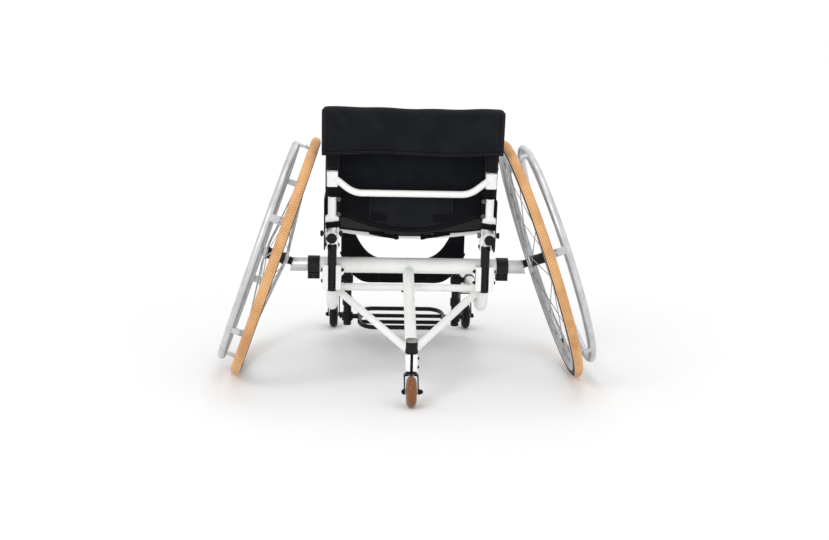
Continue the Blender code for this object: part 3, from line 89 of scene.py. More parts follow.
# Where things are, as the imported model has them


@dataclass(frozen=True)
class Layout:
    """Sizes and places that more than one sub-assembly needs."""

    gap: float = 0.0003
    frame_half: float = 0.186
    camber: float = radians(19)
    tyre_radius: float = 0.3045
    tyre_section: float = 0.012
    flap_half: float = 0.2087
    tyre_clearance: float = 0.007842
    hub_length: float = 0.064
    camber_tube_radius: float = 0.0193
    camber_tube_end: float = 0.2452
    camber_tube_z: float = 0.2677
    insert_held: float = 0.0615
    rail_radius: float = 0.014
    rail_z: float = 0.16
    mast_radius: float = 0.0135
    mast_foot_z: float = 0.0755 + 0.042 * 0.62
    caster_contact_y: float = 0.4586
    caster_trail: float = 0.03
    housing_x: float = 0.188
    housing_radius: float = 0.0165
    housing_low: float = 0.099
    housing_height: float = 0.075
    anti_tip_stem_y: float = -0.27
    anti_tip_trail: float = 0.03
    anti_tip_radius: float = 0.035
    strut_radius: float = 0.011
    strut_y: float = -0.033
    seat_tube_radius: float = 0.0125
    seat_rear_y: float = -0.117
    seat_rear_z: float = 0.3527
    seat_bend_y: float = 0.06
    seat_front_half: float = 0.15
    seat_front_y: float = 0.378
    seat_slope: float = radians(5)
    leg_half: float = 0.149
    leg_y: float = 0.36
    pivot_y: float = -0.07
    guard_x: float = 0.2043
    guard_thickness: float = 0.002
    post_radius: float = 0.01
    recline: float = radians(9)
    post_foot: float = 0.0295
    post_foot_back: float = 0.0175
    post_length: float = 0.262

    @property
    def tyre_line(self) -> float:
        """Radius of the middle of the tyre's section."""
        return self.tyre_radius - self.tyre_section

    @property
    def wheel_x(self) -> float:
        """Distance of a main wheel's middle from the chair's."""
        top = self.flap_half + self.tyre_clearance + self.tyre_section
        return top + self.tyre_line * sin(self.camber)

    @property
    def wheel_z(self) -> float:
        """Height of a main wheel's middle."""
        return self.tyre_line * cos(self.camber) + self.tyre_section

    @property
    def swivel_y(self) -> float:
        """Depth of the front casters' swivels."""
        return self.caster_contact_y + self.caster_trail

    @property
    def axle_y(self) -> float:
        """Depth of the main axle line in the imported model's frame."""
        rear = self.anti_tip_radius - self.anti_tip_stem_y + self.anti_tip_trail
        return (rear - self.swivel_y - self.housing_radius) / 2

    @property
    def mast_foot(self) -> Vector:
        """Where the mast's centre line meets the anti-tip wheel's stem."""
        return Vector((0, self.anti_tip_stem_y, self.mast_foot_z))

    @property
    def pivot(self) -> Vector:
        """Middle of the line that the backrest folds about."""
        return Vector((0.0, self.pivot_y, self.seat_z(self.pivot_y)))

    @property
    def post_way(self) -> Vector:
        """The direction of the back posts, from their feet."""
        return Vector((0.0, -sin(self.recline), cos(self.recline)))

    def seat_z(self, y: float) -> float:
        """Height of the seat tubes' centre lines at a depth."""
        return self.seat_rear_z + (y - self.seat_rear_y) * tan(self.seat_slope)

    def seat_x(self, y: float) -> float:
        """Distance of the seat tubes' centre lines from the chair's middle at a depth."""
        share = max(0.0, (y - self.seat_bend_y) / (self.seat_front_y - self.seat_bend_y))
        return self.frame_half + (self.seat_front_half - self.frame_half) * share

    def back_point(self, x: float, up: float, forward: float) -> Vector:
        """A point of the backrest, measured from the foot of its posts.

        Args:
            x: distance across the chair.
            up: distance along the posts.
            forward: distance squarely in front of the posts' middles.

        Returns:
            The point in the chair's frame.
        """
        start = self.pivot + Vector((x, -self.post_foot_back, self.post_foot))
        ahead = Vector((0.0, cos(self.recline), sin(self.recline)))
        return start + self.post_way * up + ahead * forward

    def back_place(self, x: float, up: float, forward: float) -> Matrix:
        """A frame on the backrest, local Z along the posts and local X across the chair."""
        return facing(self.back_point(x, up, forward), self.post_way, ACROSS)

    def wheel_place(self, side: Side) -> Matrix:
        """A frame at a main wheel's middle, local Z outwards and local X to the floor.

        Args:
            side: which wheel it is.

        Returns:
            the frame.
        """
        axle = side.at(cos(self.camber), 0.0, sin(self.camber))
        down = side.at(sin(self.camber), 0.0, -cos(self.camber))
        return facing(side.at(self.wheel_x, 0.0, self.wheel_z), axle, down)


LAYOUT = Layout()


# Frames


def facing(origin: Vector, axis: Vector, across: Vector) -> Matrix:
    """A frame with local Z along an axis and local X along a direction square to it.

    Args:
        origin: where the frame sits.
        axis: direction of local Z.
        across: direction of local X.

    Returns:
        The frame as a matrix.
    """
    z = axis.normalized()
    x = across.normalized()
    x = (x - z * x.dot(z)).normalized()
    return Matrix.Translation(origin) @ Matrix((x, z.cross(x), z)).transposed().to_4x4()


def upright(x: float, y: float, z: float = 0.0) -> Matrix:
    """A frame with local Z up and local X across the chair."""
    return facing(Vector((x, y, z)), UP, ACROSS)


def sideways(x: float, y: float, z: float, way: int = 1) -> Matrix:
    """A frame with local Z across the chair, right or left, and local X ahead."""
    return facing(Vector((x, y, z)), Vector((way, 0, 0)), AHEAD)


def raised(place: Matrix, height: float) -> Matrix:
    """A frame moved along its own Z."""
    return place @ Matrix.Translation((0, 0, height))


def square_to(direction: Vector) -> Vector:
    """Any direction square to the one given."""
    other = UP if abs(direction.z) < 0.9 else ACROSS
    return direction.cross(other).normalized()


# Shapes. Each is points, faces and, for every face's corner, a place on the flat in metres


@dataclass
class Shape:
    """Points and faces in the chair's frame, with each corner's place on the laid-out surface."""

    points: list[Vector] = field(default_factory=list)
    faces: list[tuple[int, ...]] = field(default_factory=list)
    runs: list[tuple[Flat, ...]] = field(default_factory=list)

    @property
    def area(self) -> float:
        """The area of its faces, of which a thin sheet has twice what it covers.

        Returns:
            the area in square metres.
        """
        total = 0.0
        for face in self.faces:
            a = self.points[face[0]]
            for i, j in zip(face[1:], face[2:]):
                total += (self.points[i] - a).cross(self.points[j] - a).length / 2
        return total


@dataclass
class Skin(Shape):
    """What is gathered for one piece before its mesh is made."""

    looks: list[int] = field(default_factory=list)

    def add(self, *shapes: Shape, look: int = 0) -> "Skin":
        """Adds shapes in one of the piece's finishes.

        Args:
            shapes: what is added.
            look: which of the piece's finishes they take.

        Returns:
            The same skin, so that calls can follow one another.
        """
        for shape in shapes:
            first = len(self.points)
            self.points += shape.points
            self.faces += [tuple(first + i for i in face) for face in shape.faces]
            self.runs += shape.runs
            self.looks += [look] * len(shape.faces)
        return self


def make(
    name: str,
    skin: Skin,
    finishes: Sequence[bpy.types.Material],
    body: str,
    replaces: Sequence[str] = (),
) -> bpy.types.Object:
    """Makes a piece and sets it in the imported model's frame, riding on one of its bodies.

    Args:
        name: the piece's name.
        skin: its points and faces in the chair's frame.
        finishes: its materials, in the order of the skin's looks.
        body: the body that it moves with.
        replaces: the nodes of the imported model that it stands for.

    Returns:
        The new object.
    """
    corner_angle, same_point = radians(38), 4e-7
    shift = Vector((0.0, LAYOUT.axle_y, 0.0))
    mesh = bpy.data.meshes.new(name)
    mesh.from_pydata([p + shift for p in skin.points], [], skin.faces)
    mesh.polygons.foreach_set("material_index", skin.looks)
    layer = mesh.uv_layers.new(name="run")
    layer.data.foreach_set("uv", [value for run in skin.runs for at in run for value in at])
    shape = bmesh.new()
    shape.from_mesh(mesh)
    bmesh.ops.remove_doubles(shape, verts=shape.verts, dist=same_point)
    bmesh.ops.recalc_face_normals(shape, faces=shape.faces)
    shape.to_mesh(mesh)
    shape.free()
    for finish in finishes:
        mesh.materials.append(finish)
    mesh.shade_smooth()
    mesh.set_sharp_from_angle(angle=corner_angle)
    piece = bpy.data.objects.new(name, mesh)
    bpy.context.scene.collection.objects.link(piece)
    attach(piece, body)
    if replaces:
        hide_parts(*replaces)
    log.info("%s: %d faces, rides on %s", name, len(mesh.polygons), body)
    return piece


# Lines and outlines


def soften(line: Sequence, radius: float, steps: int = 4, closed: bool = False) -> list:
    """Rounds the corners of a line of points.

    Args:
        line: the points, flat or in space.
        radius: how far from a corner its rounding starts.
        steps: how many points each rounding adds.
        closed: whether the line goes back to its start.

    Returns:
        The rounded line's points.
    """
    points = [Vector(p) for p in line]
    made = []
    count = len(points)
    for i, corner in enumerate(points):
        before, after = points[i - 1] - corner, points[(i + 1) % count] - corner
        if (not closed and i in (0, count - 1)) or min(before.length, after.length) < TINY:
            made.append(corner)
            continue
        start = corner + before.normalized() * min(radius, before.length * 0.48)
        end = corner + after.normalized() * min(radius, after.length * 0.48)
        for k in range(steps + 1):
            t = k / steps
            made.append(start * (1 - t) ** 2 + corner * (2 * t * (1 - t)) + end * t**2)
    return made


def bent(line: Sequence[Vector], radius: float, steps: int = 12) -> list[Vector]:
    """A line of straight runs joined by true arcs of one radius.

    Args:
        line: the corners, with its two ends.
        radius: the bends' radius.
        steps: how many points each bend has.

    Returns:
        The points along the line.
    """
    made = [line[0]]
    for before, corner, after in zip(line, line[1:], line[2:]):
        to_before = (before - corner).normalized()
        to_after = (after - corner).normalized()
        half = to_before.angle(to_after) / 2
        if half > pi / 2 - 1e-3:
            made.append(corner)
            continue
        reach = radius / tan(half)
        centre = corner + (to_before + to_after).normalized() * (radius / sin(half))
        start = (corner + to_before * reach - centre).normalized()
        end = (corner + to_after * reach - centre).normalized()
        made += [centre + start.slerp(end, k / steps) * radius for k in range(steps + 1)]
    return [*made, line[-1]]


def spread(line: Sequence[Vector], step: float) -> list[Vector]:
    """The same line with points no further apart than a step.

    Args:
        line: its points.
        step: the largest distance between neighbours.

    Returns:
        the points with more between them.
    """
    made = [line[0]]
    for a, b in zip(line, line[1:]):
        parts = max(1, ceil((b - a).length / step))
        made += [a.lerp(b, k / parts) for k in range(1, parts + 1)]
    return made


def arc(radius: float, first: float, sweep: float, steps: int, middle: Flat = (0.0, 0.0)) -> list[Vector]:
    """The flat points of an arc, both its ends included.

    Args:
        radius: its radius.
        first: the angle that it starts at.
        sweep: the angle that it goes through, below 0 for clockwise.
        steps: how many steps it has.
        middle: its centre.

    Returns:
        The points.
    """
    turns = [first + sweep * i / steps for i in range(steps + 1)]
    return [Vector((middle[0] + radius * cos(a), middle[1] + radius * sin(a))) for a in turns]


def round_section(radius: float, sides: int) -> list[Flat]:
    """A circle as points of a section."""
    turns = [2 * pi * i / sides for i in range(sides)]
    return [(radius * cos(a), radius * sin(a)) for a in turns]


def oblong(width: float, height: float, radius: float, steps: int = 4) -> list[Vector]:
    """The outline of a rectangle about the origin with rounded corners."""
    x, y = width / 2, height / 2
    return soften([(x, -y), (x, y), (-x, y), (-x, -y)], radius, steps, closed=True)


def anticlockwise(line: list[Vector]) -> list[Vector]:
    """An outline, turned if it has to be to run anticlockwise."""
    area = sum(a.x * b.y - b.x * a.y for a, b in zip(line, line[1:] + line[:1]))
    return line[::-1] if area < 0 else line


def inset(outline: Sequence[Vector], amount: float) -> list[Vector]:
    """An outline that runs anticlockwise, drawn in by an amount.

    Args:
        outline: its points, anticlockwise.
        amount: how far each edge moves in.

    Returns:
        the drawn-in points.
    """
    made = []
    count = len(outline)
    for i, b in enumerate(outline):
        one, two = (b - outline[i - 1]).normalized(), (outline[(i + 1) % count] - b).normalized()
        first, second = Vector((-one.y, one.x)), Vector((-two.y, two.x))
        middle = first + second
        if middle.length < 1e-6:
            made.append(b + first * amount)
            continue
        middle.normalize()
        made.append(b + middle * (amount / max(middle.dot(first), 0.45)))
    return made


def lengths(outline: Sequence[Flat]) -> list[float]:
    """The distance to each point of a closed outline, and last the whole way round.

    Args:
        outline: its points.

    Returns:
        one distance more than there are points.
    """
    made = [0.0]
    for a, b in zip(outline, [*outline[1:], outline[0]]):
        made.append(made[-1] + hypot(b[0] - a[0], b[1] - a[1]))
    return made


# Surfaces


def net(size: tuple[int, int], down: Sequence[float], along: Sequence[float], swap: bool = False) -> Shape:
    """The faces between rings of points that follow one another.

    Args:
        size: how many rings there are, and how many points each has.
        down: the distance at each ring, with one more if the last ring joins the first.
        along: the distance at each point of a ring, with one more if the ring is closed.
        swap: whether the distance along a ring comes first on the flat.

    Returns:
        A shape that still wants its points.
    """
    count, sides = size
    made = Shape()
    for i in range(len(down) - 1):
        near, far = i * sides, (i + 1) % count * sides
        for k in range(len(along) - 1):
            n = (k + 1) % sides
            made.faces.append((near + k, near + n, far + n, far + k))
            spots = [(down[a], along[b]) for a, b in ((i, k), (i, k + 1), (i + 1, k + 1), (i + 1, k))]
            made.runs.append(tuple((b, a) if swap else (a, b) for a, b in spots))
    return made


def loft(
    path: Sequence[Vector],
    section: Sequence[Flat],
    scales: Sequence[float] | None = None,
    upward: Vector | Callable[[Vector], Vector] | None = None,
    closed: bool = False,
) -> Shape:
    """Carries a section along a path and closes its ends.

    Args:
        path: the points that the section's middle follows.
        section: the section's outline, in its own two directions.
        scales: the section's size at each point, one for the size given.
        upward: the way the section's second direction leans, or a rule for it.
        closed: whether the path goes back to its start.

    Returns:
        The closed shape.
    """
    count, sides = len(path), len(section)
    sizes = scales or [1.0] * count
    if closed:
        tangents = [path[(i + 1) % count] - path[i - 1] for i in range(count)]
    else:
        tangents = [path[min(i + 1, count - 1)] - path[max(i - 1, 0)] for i in range(count)]
    tangents = [tangent.normalized() for tangent in tangents]
    across = square_to(tangents[0])
    twist = 0.0
    if closed and upward is None:
        test = across
        for tangent in (*tangents[1:], tangents[0]):
            test = (test - tangent * test.dot(tangent)).normalized()
        twist = atan2(test.cross(across).dot(tangents[0]), test.dot(across))
    points, along = [], []
    for i, (point, tangent, size) in enumerate(zip(path, tangents, sizes)):
        if upward is None:
            across = (across - tangent * across.dot(tangent)).normalized()
            first = Matrix.Rotation(twist * i / count, 3, tangent) @ across
            second = tangent.cross(first)
        else:
            wish = upward(point) if callable(upward) else upward
            second = (wish - tangent * wish.dot(tangent)).normalized()
            first = second.cross(tangent)
        points += [point + (first * a + second * b) * size for a, b in section]
        along.append(along[-1] + (point - path[i - 1]).length if i else 0.0)
    if closed:
        along.append(along[-1] + (path[0] - path[-1]).length)
    made = net((count, sides), along, lengths(section))
    made.points = points
    if not closed:
        last = (count - 1) * sides
        flat = tuple(tuple(at) for at in section)
        made.faces += [tuple(reversed(range(sides))), tuple(range(last, last + sides))]
        made.runs += [flat[::-1], flat]
    return made


def tube(path: Sequence[Vector], radius: float, sides: int = 28, edge: float = 0.0008) -> Shape:
    """A round tube along a path, its two ends a little rounded.

    Args:
        path: the tube's centre line.
        radius: its outside radius.
        sides: how many sides its section has.
        edge: the size of the rounding at its ends.

    Returns:
        The closed shape.
    """
    start, end = (path[1] - path[0]).normalized(), (path[-2] - path[-1]).normalized()
    line = [path[0], path[0] + start * edge * 0.3, path[0] + start * edge, *path[1:-1]]
    line += [path[-1] + end * edge, path[-1] + end * edge * 0.3, path[-1]]
    less = [1 - edge / radius, 1 - 0.3 * edge / radius]
    scales = [*less, *[1.0] * (len(line) - 4), *reversed(less)]
    return loft(line, round_section(radius, sides), scales)


def piping(path: Sequence[Vector], radius: float, sides: int = 10, closed: bool = False) -> Shape:
    """A thin round cord along a path, such as a seam's piping."""
    return loft(path, round_section(radius, sides), closed=closed)


def tape(path: Sequence[Vector], width: float, thickness: float, outward: Vector | Callable) -> Shape:
    """A flat band along a path, its flat side facing outward."""
    return loft(path, oblong(width, thickness, thickness * 0.45, 2), upward=outward)


def turned(profile: Sequence[Flat], steps: int, place: Matrix, closed: bool = True) -> Shape:
    """A turned shape: an outline of radius and height, spun about a frame's local Z.

    Args:
        profile: the outline.
        steps: how many steps it is spun in.
        place: the frame.
        closed: whether the outline goes back to its start; if not, its ends are on the axis.

    Returns:
        The closed shape.
    """
    count = len(profile)
    turns = [2 * pi * i / steps for i in range(steps)]
    widest = max(r for r, _ in profile)
    down = lengths(profile)
    grid = net(
        (steps, count), [2 * pi * widest * i / steps for i in range(steps + 1)],
        down if closed else down[:-1])
    made = Shape([place @ Vector((r * cos(a), r * sin(a), h)) for a in turns for r, h in profile])
    for face, run in zip(grid.faces, grid.runs):
        on_axis = [profile[face[k] % count][0] < TINY for k in (0, 1)]
        drop = 3 if on_axis[0] else 2 if on_axis[1] else 4
        made.faces.append(face[:drop] + face[drop + 1:])
        made.runs.append(run[:drop] + run[drop + 1:])
    return made


def spun(profile: Sequence[Flat], steps: int, place: Matrix) -> Shape:
    """A solid turned shape, from an outline that starts and ends on the axis."""
    return turned(profile, steps, place, closed=False)


def rod(radius: float, low: float, high: float, steps: int, place: Matrix) -> Shape:
    """A plain cylinder along a frame's local Z."""
    return spun([(0, low), (radius, low), (radius, high), (0, high)], steps, place)


def sleeve(inner: float, outer: float, low: float, high: float, steps: int, place: Matrix) -> Shape:
    """A plain hollow cylinder along a frame's local Z."""
    return turned([(inner, low), (outer, low), (outer, high), (inner, high)], steps, place)


def prism(outline: Sequence, low: float, high: float, place: Matrix, edge: float = 0.0005) -> Shape:
    """An outline in a frame's local XY, given depth along local Z, with its edges broken.

    Args:
        outline: the outline's points.
        low: where it starts on local Z.
        high: where it ends.
        place: the frame.
        edge: the size of the broken edges.

    Returns:
        The closed shape.
    """
    line = anticlockwise([Vector(p) for p in outline])
    drawn = inset(line, edge)
    levels = [(drawn, low), (line, low + edge), (line, high - edge), (drawn, high)]
    count = len(line)
    made = net((4, count), [h for _, h in levels], lengths(line), swap=True)
    made.points = [place @ Vector((p.x, p.y, h)) for ring, h in levels for p in ring]
    flat = tuple(tuple(p) for p in drawn)
    made.faces += [tuple(reversed(range(count))), tuple(range(3 * count, 4 * count))]
    made.runs += [flat[::-1], flat]
    return made


def slab(size: Sequence[float], place: Matrix, radius: float = 0.0015, edge: float = 0.0006) -> Shape:
    """A block about a frame's origin with rounded upright corners and broken edges.

    Args:
        size: its three sides, along the frame's X, Y and Z.
        place: the frame.
        radius: the rounding of its upright corners.
        edge: the size of its other broken edges.

    Returns:
        The closed shape.
    """
    return prism(oblong(size[0], size[1], radius), -size[2] / 2, size[2] / 2, place, edge)


def cloth(
    place_of: Callable[[float, float], Vector],
    columns: int,
    rows: int,
    thickness: float,
    flat: Flat,
) -> Shape:
    """A sheet with two faces and rounded edges, from a rule for its middle.

    Args:
        place_of: the place of the middle at shares from 0 to 1 across and along.
        columns: how many faces it has across.
        rows: how many it has along.
        thickness: how thick it is.
        flat: its width and length on the flat.

    Returns:
        The closed shape.
    """
    grid = [[place_of(i / columns, j / rows) for i in range(columns + 1)] for j in range(rows + 1)]
    half, wide = thickness / 2, columns + 1
    above, below = [], []
    for j in range(rows + 1):
        for i in range(wide):
            across = grid[j][min(i + 1, columns)] - grid[j][max(i - 1, 0)]
            along = grid[min(j + 1, rows)][i] - grid[max(j - 1, 0)][i]
            out = across.cross(along).normalized()
            rim = 0.55 if i in (0, columns) or j in (0, rows) else 1.0
            above.append(grid[j][i] + out * half * rim)
            below.append(grid[j][i] - out * half * rim)
    made = Shape(above + below)
    widths = [flat[0] * i / columns for i in range(wide)]
    lines = [flat[1] * j / rows for j in range(rows + 1)]
    face_net = net((rows + 1, wide), lines, widths, swap=True)
    for face, run in zip(face_net.faces, face_net.runs):
        made.faces += [face, tuple(len(above) + k for k in reversed(face))]
        made.runs += [run, run[::-1]]
    rim = list(range(wide))
    rim += [j * wide + columns for j in range(1, rows + 1)]
    rim += [rows * wide + i for i in range(columns - 1, -1, -1)]
    rim += [j * wide for j in range(rows - 1, 0, -1)]
    for a, b in zip(rim, rim[1:] + rim[:1]):
        made.faces.append((b, a, len(above) + a, len(above) + b))
        made.runs.append(tuple((widths[k % wide], lines[k // wide]) for k in (b, a, a, b)))
    return made


def stitches(
    path: Sequence[Vector],
    outward: Vector | Callable[[Vector], Vector],
    pitch: float = 0.0034,
    radius: float = 0.00035,
) -> Shape:
    """A row of thread stitches that lie on a surface.

    Args:
        path: the row's line, on the surface.
        outward: the way the surface faces, or a rule for it.
        pitch: the distance from one stitch to the next.
        radius: the thread's radius.

    Returns:
        The stitches as one shape.
    """
    made = Skin()
    section = round_section(radius, 6)
    line = spread(path, pitch)
    for a, b in zip(line, line[1:]):
        way = b - a
        if way.length < pitch * 0.3:
            continue
        out = (outward(a) if callable(outward) else outward).normalized()
        sunk, over = out * radius * 0.2, out * radius * 0.7
        spots = [a + way * 0.12 - sunk, a + way * 0.26 + over, a + way * 0.74 + over, a + way * 0.88 - sunk]
        made.add(loft(spots, section, (0.6, 1.0, 1.0, 0.6)))
    return made


# Fastenings and welds


def socket_screw(place: Matrix, radius: float, height: float) -> Shape:
    """A round head with a recess, standing on a frame's origin along local Z."""
    inner, floor = radius * 0.52, height * 0.45
    return spun(
        [(0, floor), (inner, floor), (inner, height - 0.0002), (inner + 0.0002, height),
         (radius - 0.0005, height), (radius - 0.0001, height - 0.0004), (radius, 0), (0, -0.0004)],
        20, place)


def nut(place: Matrix, across: float, height: float, domed: float = 0.0) -> list[Shape]:
    """A hexagon nut on a frame's origin, with a bolt's end or a dome above it.

    Args:
        place: the frame, local Z out of the nut.
        across: the distance from its middle to its corners.
        height: the hexagon's height.
        domed: the height of its dome, or none for an open nut.

    Returns:
        Its shapes.
    """
    hexagon = prism(round_section(across, 6), 0.0, height, place, across * 0.09)
    inner, end = across * 0.82, across * 0.5
    if domed:
        line = [(inner * cos(pi * i / 16), height + domed * sin(pi * i / 16)) for i in range(8)]
        dome = [(0, height * 0.5), (inner, height * 0.5), *line, (0, height + domed)]
        return [hexagon, spun(dome, 20, place)]
    bolt = [(0, 0), (end, 0), (end, height + end * 0.35), (end * 0.8, height + end * 0.6)]
    return [hexagon, spun([*bolt, (0, height + end * 0.6)], 16, place)]


def washer(place: Matrix, radius: float, height: float) -> Shape:
    """A flat round washer on a frame's origin.

    Args:
        place: its frame.
        radius: its radius.
        height: its thickness.

    Returns:
        the closed shape.
    """
    e = min(height * 0.3, 0.0003)
    rim = [(radius - e, 0), (radius, e), (radius, height - e), (radius - e, height)]
    return spun([(0, 0), *rim, (0, height)], 28, place)


def grip_knob(place: Matrix, radius: float, height: float, lobes: int = 7) -> list[Shape]:
    """A hand knob with lobes round its rim and a shallow dome.

    Args:
        place: the frame, local Z out of the knob.
        radius: its largest radius.
        height: its height.
        lobes: how many lobes it has.

    Returns:
        Its shapes.
    """
    outline = []
    for i in range(lobes * 8):
        a = 2 * pi * i / (lobes * 8)
        r = radius * (0.9 + 0.1 * cos(lobes * a))
        outline.append((r * cos(a), r * sin(a)))
    rim = prism(outline, height * 0.2, height * 0.92, place, radius * 0.1)
    neck = [(0, 0), (radius * 0.55, 0), (radius * 0.55, height * 0.3), (0, height * 0.3)]
    cap = [(0, height * 0.5), (radius * 0.62, height * 0.5), (radius * 0.6, height * 0.94),
           (radius * 0.4, height), (0, height)]
    return [rim, spun(neck, 20, place), spun(cap, 20, place)]


def weld(path: Sequence[Vector], radius: float, closed: bool = True) -> Shape:
    """A weld bead with its ripples, along the line where two tubes meet.

    Args:
        path: the line, with any spacing.
        radius: the bead's radius.
        closed: whether the line goes back to its start.

    Returns:
        The closed shape.
    """
    ripple, per_ripple = 0.0024, 5
    line = spread([*path, path[0]] if closed else path, ripple / per_ripple)
    if closed:
        line.pop()
    scales = [1.0 + 0.10 * sin(2 * pi * i / per_ripple) + 0.04 * sin(i * 0.37) for i in range(len(line))]
    return loft(line, round_section(radius, 10), scales, closed=closed)


def saddle(
    origin: Vector,
    axis: Vector,
    radius: float,
    main: Vector,
    main_axis: Vector,
    main_radius: float,
) -> list[Vector]:
    """The line where a branch tube meets a larger one.

    Args:
        origin: a point on the branch's centre line.
        axis: the branch's direction, towards the side that is wanted.
        radius: the branch's radius.
        main: a point on the larger tube's centre line.
        main_axis: the larger tube's direction.
        main_radius: the larger tube's radius.

    Returns:
        The points of the closed line.
    """
    d, m = axis.normalized(), main_axis.normalized()
    first = square_to(d)
    second = d.cross(first)
    made = []
    for i in range(48):
        turn = 2 * pi * i / 48
        start = origin + (first * cos(turn) + second * sin(turn)) * radius - main
        flat, way = start - m * start.dot(m), d - m * d.dot(m)
        a, b, c = way.dot(way), 2 * flat.dot(way), flat.dot(flat) - main_radius**2
        t = (-b + sqrt(max(b * b - 4 * a * c, 0.0))) / (2 * a)
        made.append(main + start + d * t)
    return made


# Finishes

Socket = bpy.types.NodeSocket
Value = Socket | float


def colour(red: float, green: float, blue: float) -> Colour:
    """A colour from 0 to 255 parts, as the shader's own values.

    Args:
        red: its red part.
        green: its green part.
        blue: its blue part.

    Returns:
        the colour in linear values.
    """
    parts = [c / 255 for c in (red, green, blue)]
    made = [p / 12.92 if p <= 0.04045 else ((p + 0.055) / 1.055) ** 2.4 for p in parts]
    return made[0], made[1], made[2]


class Graph:
    """A material's nodes, with short ways to add them."""

    def __init__(self, name: str, **sockets: object) -> None:
        """Starts a material.

        Args:
            name: the material's name.
            sockets: constant values of the shader, spaces in their names written as underscores.
        """
        self.material = bpy.data.materials.new(name)
        self.material.use_nodes = True
        self.tree = self.material.node_tree
        self.shader = self.tree.nodes["Principled BSDF"]
        for key, value in sockets.items():
            self.shader.inputs[key.replace("_", " ")].default_value = value

    def add(self, kind: str, inputs: dict, **settings: object) -> bpy.types.Node:
        """Adds a node.

        Args:
            kind: the node's type, without its leading word.
            inputs: its inputs by name or number, each a value or another node's output.
            settings: its own settings.

        Returns:
            The node.
        """
        node = self.tree.nodes.new("ShaderNode" + kind)
        for key, value in settings.items():
            setattr(node, key, value)
        for key, value in inputs.items():
            if isinstance(value, Socket):
                self.tree.links.new(value, node.inputs[key])
            else:
                node.inputs[key].default_value = value
        return node

    def place(self) -> Socket:
        """The place on the piece, in metres."""
        return self.add("TexCoord", {}).outputs["Object"]

    def run(self) -> tuple[Socket, Socket]:
        """The distances along and across the laid-out surface, in metres."""
        node = self.add("SeparateXYZ", {0: self.add("UVMap", {}, uv_map="run").outputs[0]})
        return node.outputs[0], node.outputs[1]

    def noise(self, at: Socket, scale: float, detail: float = 3.0, rough: float = 0.55) -> Socket:
        """Smooth random values about a half."""
        inputs = {"Vector": at, "Scale": scale, "Detail": detail, "Roughness": rough}
        return self.add("TexNoise", inputs).outputs["Fac"]

    def maths(self, way: str, *values: Value) -> Socket:
        """One step of arithmetic."""
        return self.add("Math", dict(enumerate(values)), operation=way).outputs[0]

    def times(self, a: Value, b: Value) -> Socket:
        """One value times another."""
        return self.maths("MULTIPLY", a, b)

    def plus(self, a: Value, b: Value) -> Socket:
        """One value and another."""
        return self.maths("ADD", a, b)

    def minus(self, a: Value, b: Value) -> Socket:
        """One value less another."""
        return self.maths("SUBTRACT", a, b)

    def span(self, value: Value, low: float, high: float, first: float = 0.0, last: float = 1.0) -> Socket:
        """A value carried smoothly from one range to another."""
        inputs = {"Value": value, "From Min": low, "From Max": high, "To Min": first, "To Max": last}
        return self.add("MapRange", inputs, interpolation_type="SMOOTHSTEP").outputs[0]

    def blend(self, share: Value, a: Colour, b: Colour) -> Socket:
        """A colour between two."""
        return self.add("Mix", {0: share, 6: (*a, 1.0), 7: (*b, 1.0)}, data_type="RGBA").outputs[2]

    def relief(self, height: Value, depth: float, strength: float, under: Socket | None = None) -> Socket:
        """A bump from heights, over another bump if one is given.

        Args:
            height: the heights.
            depth: the distance that a height of 1 stands for.
            strength: how strongly it acts.
            under: the bump that it lies over.

        Returns:
            the normal's socket.
        """
        inputs = {"Height": height, "Distance": depth, "Strength": strength}
        if under is not None:
            inputs["Normal"] = under
        return self.add("Bump", inputs).outputs[0]

    def wave(self, value: Value, pitch: float) -> Socket:
        """A sine of a distance, from 0 to 1, once for each pitch."""
        high = self.maths("SINE", self.maths("MULTIPLY_ADD", value, 2 * pi / pitch, 0.0))
        return self.maths("MULTIPLY_ADD", high, 0.5, 0.5)

    def waves(self, u: Value, v: Value, pitch: float) -> tuple[Socket, Socket]:
        """Two waves that cross, one each way along the diagonals."""
        return self.wave(self.plus(u, v), pitch), self.wave(self.minus(u, v), pitch)

    def finish(self, **links: Socket) -> bpy.types.Material:
        """Joins outputs to the shader and gives the material.

        Args:
            links: outputs by the shader's input, spaces in its name written as underscores.

        Returns:
            The material.
        """
        for key, value in links.items():
            self.tree.links.new(value, self.shader.inputs[key.replace("_", " ")])
        return self.material


@dataclass(frozen=True)
class Paint:
    """Sprayed paint on tube: a slight orange peel, a film of dust and a little wear."""

    name: str
    base: Colour
    worn: Colour
    rough: float
    coat: float
    peel: float = 0.00006
    gloss: float = 0.5

    def build(self) -> bpy.types.Material:
        """The paint's material.

        Returns:
            the material.
        """
        g = Graph(self.name, Coat_Weight=self.coat, Coat_Roughness=0.12, Specular_IOR_Level=self.gloss)
        at = g.place()
        film = g.span(g.noise(at, 7.0), 0.38, 0.78)
        specks = g.span(g.noise(at, 420.0, 2.0), 0.66, 0.74)
        tint = g.blend(g.plus(g.times(film, 0.3), g.times(specks, 0.08)), self.base, self.worn)
        rough = g.span(g.noise(at, 38.0, 4.0), 0.3, 0.7, self.rough - 0.07, self.rough + 0.10)
        peel = g.relief(g.noise(at, 620.0, 1.0), self.peel, 0.8)
        return g.finish(Base_Color=tint, Roughness=rough, Normal=peel)


